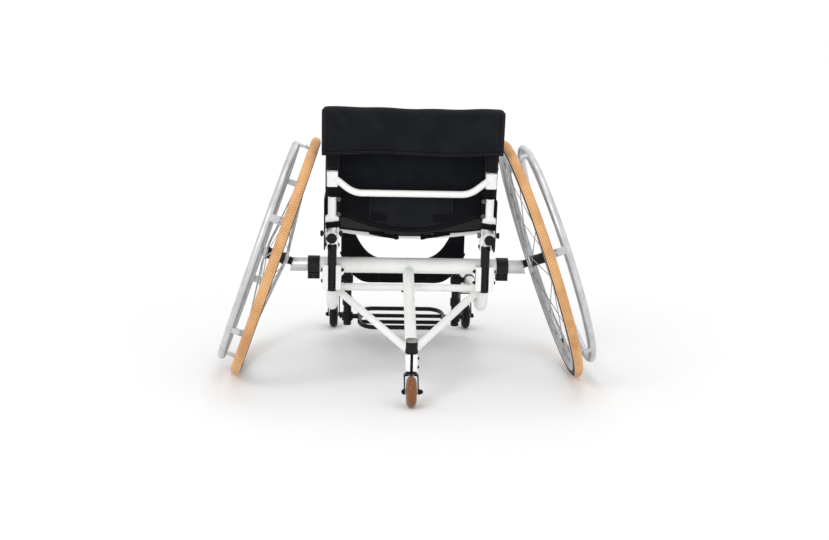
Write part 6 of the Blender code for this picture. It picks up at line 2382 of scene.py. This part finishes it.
@dataclass
class BackFrame(Assembly):
    """The back posts with their pivot plates, the pins, and the bent bar with its blocks."""

    collar: float = 0.012
    collar_low: float = 0.004
    plate: float = 0.003
    pivot_radius: float = 0.004
    knob_radius: float = 0.0074
    knob_length: float = 0.0088
    bar_radius: float = 0.008
    bar_up: float = 0.109
    bar_drop: float = 0.0315
    bar_half_run: float = 0.136
    bar_bend: float = 0.062
    bar_bow: float = 0.014
    block: float = 0.026
    block_height: float = 0.037
    block_split: float = 0.0012

    def post(self, side: Side) -> None:
        """A back post with its foot collar and the two plates that straddle the seat tube.

        Args:
            side: which side it is on.
        """
        lay, f, low = self.lay, self.finishes, self.collar_low
        r, top = lay.post_radius, lay.post_length
        x, pivot, thick = side.value * lay.frame_half, lay.pivot, self.plate
        place = lay.back_place(x, 0, 0)
        profile = [(0, 0.0), (r, 0.0), (r, 0.05), (r, 0.10), (r, 0.15), (r, 0.20), (r, top - 0.001),
                   (r - 0.001, top), (0, top)]
        flare = [(r - 0.001, low + 0.008), (r + 0.0034, low + 0.008), (r + 0.0028, low + 0.0125),
                 (r + 0.0009, low + 0.0155), (r - 0.001, low + 0.017)]
        skin = Skin().add(spun(profile, 44, place), turned(soften(flare, 0.0012, 3, closed=True), 44, place))
        outer = lay.seat_tube_radius + lay.gap + thick
        block = lay.back_place(x, low + self.collar / 2, 0)
        skin.add(slab((2 * outer, 0.018, self.collar), block, 0.004, 0.0012))
        turns = [pi * (1.02 + i / 12) for i in range(13)]
        corners = [lay.back_point(0, low + self.collar - 0.001, forward) for forward in (0.0085, -0.0085)]
        outline = [(pivot.y + 0.009 * cos(a), pivot.z + 0.009 * sin(a)) for a in turns]
        outline += [(p.y, p.z) for p in corners]
        for end in (-1, 1):
            middle = x + end * (lay.seat_tube_radius + lay.gap + thick / 2)
            skin.add(prism(outline, -thick / 2, thick / 2, sideways(middle, 0, 0), 0.0006))
        cap = [(0, -0.001), (r - 0.0014, -0.001), (r - 0.0012, 0.0004), (r * 0.6, 0.0011), (0, 0.0013)]
        skin.add(spun(cap, 36, lay.back_place(x, top, 0)), look=1)
        make("back_post_" + side.tag, skin, [f.white, f.plastic], "backrest",
             ["backrest_post_" + side.tag])

    def pin(self, side: Side) -> None:
        """The pivot pin with its two hand knobs.

        Args:
            side: which side it is on.
        """
        lay, f, way = self.lay, self.finishes, side.value
        outer = lay.guard_x + lay.guard_thickness / 2 - lay.frame_half + lay.gap
        inner = -(lay.seat_tube_radius + lay.gap + self.plate) - lay.gap
        y, z = lay.pivot.y, lay.pivot.z
        place = sideways(way * lay.frame_half, y, z, way)
        skin = Skin().add(rod(self.pivot_radius, inner - 0.001, outer + 0.001, 28, place), look=1)
        for at, out in ((inner, -1), (outer, 1)):
            knob = sideways(way * (lay.frame_half + at), y, z, way * out)
            grey = out < 0 and side is Side.RIGHT
            skin.add(*grip_knob(knob, self.knob_radius, self.knob_length, 5 if grey else 7),
                     look=2 if grey else 0)
        make("pivot_pin_" + side.tag, skin, [f.plastic, f.steel, f.grey_plastic], "seat",
             ["back_pivot_" + side.tag])

    def bar(self) -> None:
        """The bent bar behind the upholstery, with its split blocks on the posts."""
        lay, f, x = self.lay, self.finishes, self.lay.frame_half
        half, bore, s = self.block / 2, lay.post_radius + lay.gap, self.block_split
        ends = [lay.back_point(t * (x - self.block * 0.3), self.bar_up, -self.bar_bow * 0.5) for t in (-1, 1)]
        low = self.bar_up - self.bar_drop
        corners = [lay.back_point(t * self.bar_half_run, low, -self.bar_bow) for t in (-1, 1)]
        line = bent([ends[0], *corners, ends[1]], self.bar_bend, 14)
        skin = Skin().add(tube(spread(line, 0.012), self.bar_radius, 32))
        outline = [
            *arc(bore, -pi / 2 + s / bore, 2 * pi - 2 * s / bore, 40),
            *soften([(-s, -half), (-half, -half), (-half, half), (half, half), (half, -half), (s, -half)],
                    0.0045, 6)]
        for side in Side:
            place = lay.back_place(side.value * x, self.bar_up, 0) @ Matrix.Rotation(pi, 4, "Z")
            skin.add(prism(outline, -self.block_height / 2, self.block_height / 2, place, 0.0011))
            for up in (-0.011, 0.011):
                spot = Vector((-side.value * (half - 0.0003), -half * 0.66, up))
                screw = place @ facing(spot, Vector((-side.value, 0, 0)), UP)
                skin.add(socket_screw(screw, 0.003, 0.0024), look=1)
        make("back_bar", skin, [f.white, f.black_steel], "backrest", ["rigidizer_bar"])

    def build(self) -> None:
        """Builds the backrest's metal parts."""
        for side in Side:
            self.post(side)
            self.pin(side)
        self.bar()


# Back upholstery and the flap over its top


@dataclass
class BackCloth(Assembly):
    """What the cloths of the backrest have in common."""

    @property
    def back(self) -> Vector:
        """The way that the backrest's rear faces."""
        return self.lay.back_point(0, 0, 0) - self.lay.back_point(0, 0, 1)

    def rise(self, up: float) -> Vector:
        """A step up along the posts."""
        return self.lay.back_point(0, up, 0) - self.lay.back_point(0, 0, 0)


@dataclass
class Upholstery(BackCloth):
    """The back panel in front of the posts, its sleeves, bands and pocket."""

    thickness: float = 0.005
    half: float = 0.2026
    low: float = 0.01
    dip: float = 0.03
    offset: float = 0.0158
    bow: float = 0.016
    sleeve_radius: float = 0.0158
    sleeve_up: float = 0.131
    band_low: float = 0.0655
    band_high: float = 0.0895
    rib_low: float = 0.08
    pocket_half: float = 0.0995
    pocket_high: float = 0.074
    strip_width: float = 0.0085
    strap_width: float = 0.012
    strap_out: float = 0.015
    strap_run: float = 0.036

    def middle(self, x: float) -> float:
        """1 at the middle of the panel, falling to 0 where it nears the posts."""
        return max(0.0, 1 - (x / (self.half * 0.75)) ** 2)

    def hem(self, x: float) -> float:
        """The height of the panel's lower edge."""
        return self.low - self.dip * self.middle(x)

    def at(self, across: float, along: float) -> Vector:
        """A point of the panel's middle from shares across and up.

        Args:
            across: share from the left edge to the right.
            along: share from the lower edge to the top.

        Returns:
            the point in the chair's frame.
        """
        x = self.half * (2 * across - 1)
        low = self.hem(x)
        up = low + (self.lay.post_length - low) * along
        slack = 0.0009 * sin(11 * across + 6 * along) * self.middle(x)
        return self.lay.back_point(x, up, self.offset - self.bow * self.middle(x) + slack)

    def rear(self, x: float, up: float, lift: float = 0.0) -> Vector:
        """A point on the panel's rear face, or lifted off it."""
        return self.lay.back_point(x, up, self.offset - self.bow * self.middle(x) - self.thickness / 2 - lift)

    def wrap(self, side: Side, low: float, high: float, radius: float, wrinkle: float) -> Shape:
        """A cloth tube round a post with slack folds.

        Args:
            side: which post it is on.
            low: the height that it starts at.
            high: the height that it ends at.
            radius: its outside radius.
            wrinkle: how deep its folds are.

        Returns:
            The closed shape.
        """
        lay = self.lay
        rows, turns = max(10, round((high - low) / 0.0024)), 56
        place = lay.back_place(side.value * lay.frame_half, 0, 0)
        made = net((rows + 3, turns), [(high - low) * j / rows for j in range(rows + 4)],
                   [2 * pi * radius * k / turns for k in range(turns + 1)], swap=True)
        for j in range(rows + 1):
            share = j / rows
            rim = min(1.0, 4 * share, 4 * (1 - share)) ** 0.5
            for k in range(turns):
                a = 2 * pi * k / turns
                fold = sin(26 * share + 1.6 * sin(a + side.value) + a) + 0.5 * sin(3 * a + 9 * share)
                r = radius - 0.0008 * (1 - rim) + wrinkle * fold * rim
                made.points.append(place @ Vector((r * cos(a), r * sin(a), low + (high - low) * share)))
        inner = round_section(lay.post_radius + 0.0004, turns)
        made.points += [place @ Vector((x, y, z)) for z in (high, low) for x, y in inner]
        return made

    def panel(self) -> None:
        """The ribbed panel itself."""
        lay, f = self.lay, self.finishes
        columns, rows = 108, 72
        sheet = cloth(self.at, columns, rows, self.thickness, (2 * self.half, lay.post_length))
        skin = Skin().add(sheet)
        for j in range(rows):
            for i in range(columns):
                low = self.hem(self.half * (2 * (i + 0.5) / columns - 1))
                if low + (lay.post_length - low) * (j + 0.5) / rows < self.rib_low:
                    k = 2 * (j * columns + i)
                    skin.looks[k] = skin.looks[k + 1] = 1
        panel = make("back_panel", skin, [f.ribbed, f.woven], "backrest", ["back_upholstery"])

    def hems(self, skin: Skin) -> None:
        """The bound lower edge with its stitching, and the four upright seams.

        Args:
            skin: what they are added to.
        """
        lay, back = self.lay, self.back
        xs = [self.half * 0.995 * (2 * i / 96 - 1) for i in range(97)]
        for drop, radius in ((0.0, 0.0034), (0.0085, 0.0022)):
            skin.add(piping([self.rear(x, self.hem(x) + drop, -0.002) for x in xs], radius, 12))
        face = self.thickness / 2
        front = [lay.back_point(x, self.hem(x) + 0.0065,
                                self.offset - self.bow * self.middle(x) + face + 0.0001)
                 for x in xs]
        skin.add(stitches(front, -back), look=2)
        skin.add(stitches([self.rear(x, self.hem(x) + 0.0045, 0.0001) for x in xs], back), look=2)
        for x in (-0.141, -0.127, 0.127, 0.141):
            low, tall = self.hem(x) + 0.01, self.rib_low + 0.02 - self.hem(x)
            skin.add(piping([self.rear(x, low + tall * i / 14, -0.0004) for i in range(15)], 0.001, 8),
                     look=1)

    def pocket(self, skin: Skin) -> None:
        """The pocket with its seams, its taped mouth and the hook patches on it.

        Args:
            skin: what they are added to.
        """
        back, left, right, high = self.back, -self.pocket_half, self.pocket_half, self.pocket_high

        def pouch(across: float, along: float) -> Vector:
            """A point of the pocket's middle.

            Args:
                across: share from its left edge to its right.
                along: share from its lower edge to its top.

            Returns:
                the point in the chair's frame.
            """
            x = left + (right - left) * across
            low = self.hem(x) + 0.0125
            inside = 0 < across < 1 and 0 < along < 1
            puff = 0.0022 * sin(pi * across) ** 0.5 * sin(pi * along) ** 0.5 if inside else 0.0
            return self.rear(x, low + (high - low) * along, 0.0012 + puff)

        skin.add(cloth(pouch, 60, 26, 0.0016, (2 * self.pocket_half, 0.09)), look=5)
        for x in (left + 0.0025, right - 0.0025, left + 0.045, right - 0.045):
            low = self.hem(x) + 0.014
            row = [self.rear(x, low + (high - low - 0.002) * i / 20, 0.003) for i in range(21)]
            skin.add(stitches(row, back), look=2)
        top = [self.rear(left + (right - left) * i / 50, high - 0.0008, 0.0022) for i in range(51)]
        skin.add(tape(top, 0.0085, 0.0018, back), look=3)
        skin.add(stitches([p + back * 0.0011 + self.rise(0.0028) for p in top], back), look=2)
        for near, far in ((-0.0955, -0.056), (0.052, 0.0975)):
            path = [self.rear(near + (far - near) * i / 10, 0.0155, 0.004) for i in range(11)]
            skin.add(tape(path, 0.025, 0.0014, back), look=3)
            for shift in (-0.0112, 0.0112):
                skin.add(stitches([p + self.rise(shift) + back * 0.0008 for p in path], back), look=2)

    def straps(self, skin: Skin, side: Side) -> None:
        """What joins the panel to a post: an upright strip with two bolts, a wing and a foot strap.

        Args:
            skin: what they are added to.
            side: which post they are at.
        """
        lay, back, wide = self.lay, self.back, self.strip_width
        x = side.value * (lay.frame_half - 0.0148)
        strip = [lay.back_point(x, 0.014 + 0.052 * i / 8, -0.0035) for i in range(9)]
        skin.add(tape(strip, wide, 0.002, back), look=3)
        head = ((0.066, -0.0035), (0.074, 0.003), (0.084, self.offset - 0.004))
        foot = ((0.015, -0.0035), (0.010, 0.002), (0.0125, self.offset - 0.002))
        for end, radius in ((head, 0.006), (foot, 0.003)):
            line = [lay.back_point(x, up, forward) for up, forward in end]
            skin.add(tape(soften(line, radius), wide, 0.0018, back), look=3)
        for up in (0.0215, 0.0585):
            under, over = (facing(lay.back_point(x, up, forward), back, ACROSS)
                           for forward in (-0.0046, -0.0053))
            skin.add(washer(under, 0.0056, 0.0008), socket_screw(over, 0.0044, 0.0018), look=4)
        wing = []
        for i in range(15):
            out = side.value * (lay.frame_half - 0.004 - 0.034 * i / 14)
            wing.append(lay.back_point(out, 0.0795 + 0.0008 * i, -0.0128 + 0.0225 * (i / 14) ** 1.5))
        skin.add(tape(wing, 0.0185, 0.0022, back), look=3)
        strap = []
        for i in range(11):
            out = side.value * (lay.frame_half + self.strap_out - self.strap_run / 10 * i)
            strap.append(lay.back_point(out, 0.0045 * i / 10 - 0.0045, -0.0112))
        skin.add(tape(strap, self.strap_width, 0.0022, back), look=3)
        for drop in (-0.0056, 0.0056):
            skin.add(piping([p + self.rise(drop) for p in strap], 0.002))

    def sleeves(self) -> None:
        """The sleeves on the posts and the slack bands under the blocks."""
        lay, f, skin, low = self.lay, self.finishes, Skin(), self.sleeve_up
        for side in Side:
            x = side.value * lay.frame_half
            skin.add(self.wrap(side, low, lay.post_length - 0.008, self.sleeve_radius, 0.0003))
            skin.add(self.wrap(side, self.band_low, self.band_high, lay.post_radius + 0.003, 0.0005), look=1)
            for up in (low + 0.004, low + 0.0075):
                place, middle = lay.back_place(x, up, 0), lay.back_point(x, up, 0)
                ring = [place @ p.to_3d() for p in arc(self.sleeve_radius + 0.0003, 0.0, 2 * pi, 40)]
                skin.add(stitches(ring, lambda p, middle=middle: p - middle), look=2)
        make("back_sleeves", skin, [f.smooth_cloth, f.webbing, f.thread], "backrest")

    def build(self) -> None:
        """Builds the panel and what is sewn to it."""
        f, skin = self.finishes, Skin()
        self.hems(skin)
        self.pocket(skin)
        for side in Side:
            self.straps(skin, side)
        looks = [f.smooth_cloth, f.woven, f.thread, f.webbing, f.grey_plastic, f.pocket_cloth]
        make("back_panel_seams", skin, looks, "backrest")
        self.sleeves()
        self.panel()


@dataclass
class Flap(BackCloth):
    """The mesh hood over the top of the backrest, with its bound hem."""

    thickness: float = 0.004
    front_drop: float = 0.06
    drop: float = 0.101
    top: float = 0.013
    wave: float = 0.0025
    corner: float = 0.011

    def at(self, across: float, along: float, lift: float = 0.0) -> Vector:
        """A point of the hood from shares across and round, and a lift off its middle.

        Args:
            across: share from the left end to the right.
            along: share from the front hem, over the top, to the rear hem.
            lift: distance outwards from its middle.

        Returns:
            The point in the chair's frame.
        """
        lay = self.lay
        x = lay.flap_half * (2 * across - 1)
        close = max(0.0, (abs(x) - (lay.flap_half - self.corner)) / self.corner)
        bend = sqrt(max(0.0, 1 - 0.86 * close**2))
        front, rear = 0.0211 * bend + lift, 0.0193 * bend + lift
        half = (front + rear) / 2
        sway = 0.0012 * sin(7.5 * across + 0.4) + 0.0008 * sin(23 * across)
        fall = self.corner * 0.55 * (1 - sqrt(max(0.0, 1 - close**2)))
        crown = lay.post_length + self.top + lift + sway - fall
        shoulder = crown - half * 0.6
        if along < 0.25:
            return lay.back_point(x, shoulder - self.front_drop * (1 - along / 0.25), front)
        if along < 0.5:
            angle = pi * (along - 0.25) / 0.25
            return lay.back_point(x, shoulder + half * 0.6 * sin(angle),
                                  (front - rear) / 2 + half * cos(angle))
        share = (along - 0.5) / 0.5
        wave = abs(self.wave * share * sin(5 * pi * across + 0.6)) * (1 - close**2)
        hem = 0.0025 * share * cos(3 * pi * across) + sway * share
        crease = 0.0006 * sin(31 * across + 4 * share) * sin(pi * share)
        return lay.back_point(x, shoulder - (self.drop - half * 0.6) * share - hem, -rear - wave - crease)

    def build(self) -> None:
        """Builds the hood, its bound hems and their stitching."""
        f, wide, back, face = self.finishes, 2 * self.lay.flap_half, self.back, self.thickness / 2
        length = self.front_drop + 0.04 + self.drop
        sheet = cloth(self.at, 132, 88, self.thickness, (wide, length))
        hood = make("flap_hood", Skin().add(sheet), [f.mesh_cloth], "backrest", ["back_flap"])
        skin, up, thread = Skin(), self.rise(1).normalized(), (0.0032, 0.00045)
        shares = [0.004 + 0.992 * i / 120 for i in range(121)]
        hem, near = ([self.at(a, end) for a in shares] for end in (1.0, 0.0))
        skin.add(tape([p + up * 0.002 for p in hem], 0.0085, self.thickness + 0.0014, back))
        skin.add(piping([p + up * 0.0074 + back * (face + 0.0002) for p in hem], 0.0012), look=1)
        skin.add(piping([p - up * 0.0014 + back * (face + 0.0001) for p in hem], 0.0011), look=1)
        for height in (0.0045, 0.0008):
            row = [p + up * height + back * (face + 0.0008) for p in hem]
            skin.add(stitches(row, back, *thread), look=2)
        skin.add(tape([p + up * 0.002 for p in near], 0.0085, self.thickness + 0.0012, back))
        row = [p + up * 0.0045 - back * (face + 0.0007) for p in near]
        skin.add(stitches(row, -back, *thread), look=2)
        for end in (0.0, 1.0):
            skin.add(piping([self.at(end, i / 60) for i in range(61)], 0.0026, 12))
        for step in (0.04, 0.96):
            seam = [self.at(step, 0.52 + 0.46 * i / 30) + back * (face + 0.0001) for i in range(31)]
            skin.add(stitches(seam, back), look=2)
        make("flap_hems", skin, [f.smooth_cloth, f.webbing, f.thread], "backrest")


# Studio


@dataclass
class Studio:
    """A pale floor under a white sky, soft lights, and the camera behind the chair."""

    lens: float = 54.35
    sensor: float = 36.0
    eye: Triple = (-0.13675, -3.10358, 0.85019)
    right: Triple = (0.99868, -0.04615, 0.02241)
    up: Triple = (-0.01307, 0.19354, 0.98101)
    behind: Triple = (-0.04961, -0.98001, 0.19268)
    aim: Triple = (0.0, 0.0, 0.4)
    backdrop: Colour = (0.955, 0.955, 0.955)
    overhead: float = 0.8
    fade: Flat = (0.3, 2.1)
    floor_half: float = 30.0

    def camera(self) -> None:
        """Sets the camera from its place and its three directions."""
        data = bpy.data.cameras.new("camera")
        data.lens, data.sensor_width, data.sensor_fit = self.lens, self.sensor, "HORIZONTAL"
        data.clip_start, data.clip_end = 0.05, 60.0
        camera = bpy.data.objects.new("camera", data)
        turn = Matrix((self.right, self.up, self.behind)).transposed()
        camera.matrix_world = Matrix.Translation(Vector(self.eye)) @ turn.to_4x4()
        bpy.context.scene.collection.objects.link(camera)
        bpy.context.scene.camera = camera

    def ground(self) -> None:
        """A wide pale floor, flat all round so that every view meets the same ground."""
        g = Graph("studio_white", Roughness=0.9, Specular_IOR_Level=0.1, Emission_Color=(1.0, 1.0, 1.0, 1.0))
        reach = g.add("VectorMath", {0: g.place()}, operation="LENGTH").outputs["Value"]
        fade = g.span(reach, *self.fade)
        tint = g.blend(fade, self.backdrop, (0.0, 0.0, 0.0))
        mesh = bpy.data.meshes.new("floor")
        half, low = self.floor_half, CAD_BOX[0].z - 0.0004
        corners = [(-half, -half, low), (half, -half, low), (half, half, low), (-half, half, low)]
        mesh.from_pydata(corners, [], [(0, 1, 2, 3)])
        mesh.materials.append(g.finish(Base_Color=tint, Emission_Strength=fade))
        floor = bpy.data.objects.new("floor", mesh)
        bpy.context.scene.collection.objects.link(floor)

    def light(self, name: str, place: Triple, size: float, power: float) -> None:
        """A large soft light that faces the chair's middle.

        Args:
            name: the light's name.
            place: where it stands.
            size: the side of its square.
            power: its power in watts.
        """
        data = bpy.data.lights.new(name, "AREA")
        data.shape, data.size, data.energy = "SQUARE", size, power
        lamp = bpy.data.objects.new(name, data)
        lamp.location = place
        lamp.rotation_mode = "QUATERNION"
        lamp.rotation_quaternion = (Vector(self.aim) - Vector(place)).to_track_quat("-Z", "Y")
        bpy.context.scene.collection.objects.link(lamp)

    def sky(self) -> None:
        """White all round the horizon and greyer overhead, as in a room with white walls."""
        world = bpy.data.worlds.new("studio")
        world.use_nodes = True
        nodes, links = world.node_tree.nodes, world.node_tree.links
        where, parts, fade = (nodes.new("ShaderNode" + kind)
                              for kind in ("TexCoord", "SeparateXYZ", "MapRange"))
        for socket, value in (("From Min", 0.12), ("From Max", 0.55), ("To Min", 1.0),
                              ("To Max", self.overhead)):
            fade.inputs[socket].default_value = value
        links.new(where.outputs["Generated"], parts.inputs[0])
        links.new(parts.outputs["Z"], fade.inputs["Value"])
        links.new(fade.outputs["Result"], nodes["Background"].inputs["Strength"])
        nodes["Background"].inputs["Color"].default_value = (1.0, 1.0, 1.0, 1.0)
        bpy.context.scene.world = world

    def build(self) -> None:
        """Sets up the whole studio."""
        self.camera()
        self.ground()
        self.light("key", (-1.9, -2.6, 2.7), 1.2, 30)
        self.light("fill", (2.6, -2.2, 1.6), 2.2, 8)
        self.light("top", (0.2, 0.2, 3.4), 2.2, 16)
        self.light("front", (0.9, 3.0, 2.0), 2.0, 6)
        self.sky()
        bpy.context.scene.view_settings.view_transform = "Standard"


def write_sizes() -> None:
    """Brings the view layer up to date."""
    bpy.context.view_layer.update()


def main() -> None:
    """Builds the chair's pieces in order, then the studio."""
    logging.basicConfig(level=logging.INFO, format="%(message)s")
    finishes = Finishes()
    for side in Side:
        MainWheel(finishes, side=side).build()
        AxleSet(finishes, side=side).build()
    for kind in (CamberTube, LowerFrame, FrontCasters, AntiTip, SeatFrame, SideGuards, Legs, CalfStrap,
                 SeatSling, BackFrame, Upholstery, Flap):
        kind(finishes).build()
    Studio().build()
    write_sizes()


if __name__ == "__main__":
    main()
